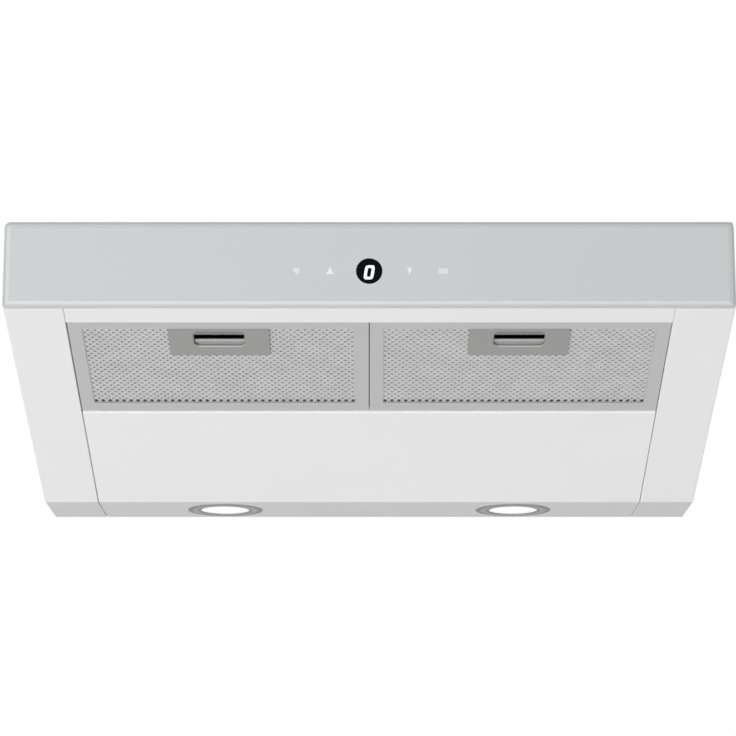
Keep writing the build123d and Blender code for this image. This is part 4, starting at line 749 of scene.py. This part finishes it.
# glow is the share of white that the camera sees in the middle, and it fades in between two parts of the radius
floorDisc = {"radius": 3.6, "height": -3.6, "steps": 96, "glowMiddle": 0.73, "fade": (0.2, 0.95)}
around = np.linspace(0, 2 * math.pi, floorDisc["steps"], endpoint=False)
floorRing = np.stack([floorDisc["radius"] * np.cos(around), floorDisc["radius"] * np.sin(around),
                      np.full_like(around, floorDisc["height"])], axis=-1)
floorMesh = bpy.data.meshes.new("floor")
floorMesh.from_pydata(floorRing.tolist(), [], [list(range(floorDisc["steps"]))])
paleFloor = makeFinish("paleFloor", {"tone": (0.8, 0.8, 0.8), "spread": 0.01, "rough": 0.8})
floorMesh.materials.append(paleFloor)
floor = bpy.data.objects.new("floor", floorMesh)
bpy.context.scene.collection.objects.link(floor)


def seenRays(tree):
    # 1 for rays from the camera, from gloss and through glass
    rays = addNode(tree, "ShaderNodeLightPath")
    seen = addNode(tree, "ShaderNodeMath", operation="MAXIMUM")
    seenAlso = addNode(tree, "ShaderNodeMath", operation="MAXIMUM")
    tree.links.new(rays.outputs["Is Camera Ray"], seen.inputs[0])
    tree.links.new(rays.outputs["Is Glossy Ray"], seen.inputs[1])
    tree.links.new(seen.outputs[0], seenAlso.inputs[0])
    tree.links.new(rays.outputs["Is Transmission Ray"], seenAlso.inputs[1])
    return seenAlso.outputs[0]


def joinSeen(tree, plain, seenShader, output, share=None):
    # what those rays meet is mixed in, by a share where one is given, and everything else meets the plain shader
    part = seenRays(tree)
    if share is not None:
        part = addNode(tree, "ShaderNodeMath", [(part, 0), (share, 1)], operation="MULTIPLY").outputs[0]
    mixed = addNode(tree, "ShaderNodeMixShader", [(part, 0), (plain, 1), (seenShader, 2)])
    tree.links.new(mixed.outputs[0], output)


# the floor goes over into the white round it: its glow grows with the distance from the middle
floorTree = paleFloor.node_tree
paleGlow = addNode(floorTree, "ShaderNodeEmission", Strength=1.0)
floorPlace = addNode(floorTree, "ShaderNodeTexCoord")
floorFlat = addNode(floorTree, "ShaderNodeVectorMath", [(floorPlace.outputs["Object"], 0)], operation="MULTIPLY")
floorFlat.inputs[1].default_value = (1, 1, 0)
floorReach = addNode(floorTree, "ShaderNodeVectorMath", [(floorFlat.outputs[0], 0)], operation="LENGTH")
floorShare = addNode(floorTree, "ShaderNodeMapRange", [(floorReach.outputs["Value"], "Value")],
                     interpolation_type="SMOOTHSTEP")
floorShare.inputs["From Min"].default_value = floorDisc["fade"][0] * floorDisc["radius"]
floorShare.inputs["From Max"].default_value = floorDisc["fade"][1] * floorDisc["radius"]
floorShare.inputs["To Min"].default_value = floorDisc["glowMiddle"]
floorShare.inputs["To Max"].default_value = 1.0
joinSeen(floorTree, floorTree.nodes["Principled BSDF"].outputs[0], paleGlow.outputs[0],
         floorTree.nodes["Material Output"].inputs["Surface"], floorShare.outputs["Result"])

studioLight = {"ambient": 0.08, "white": 1.0}
world = bpy.data.worlds.new("studio")
world.use_nodes = True
bpy.context.scene.world = world
studio = world.node_tree
studio.nodes.clear()
ambient = addNode(studio, "ShaderNodeBackground", Strength=studioLight["ambient"])
white = addNode(studio, "ShaderNodeBackground", Strength=studioLight["white"])
ambient.inputs["Color"].default_value = (1, 1, 1, 1)
white.inputs["Color"].default_value = (1, 1, 1, 1)
sky = addNode(studio, "ShaderNodeOutputWorld")
joinSeen(studio, ambient.outputs[0], white.outputs[0], sky.inputs["Surface"])

bpy.context.scene.view_settings.view_transform = "Standard"
print("stage, lights and camera set")
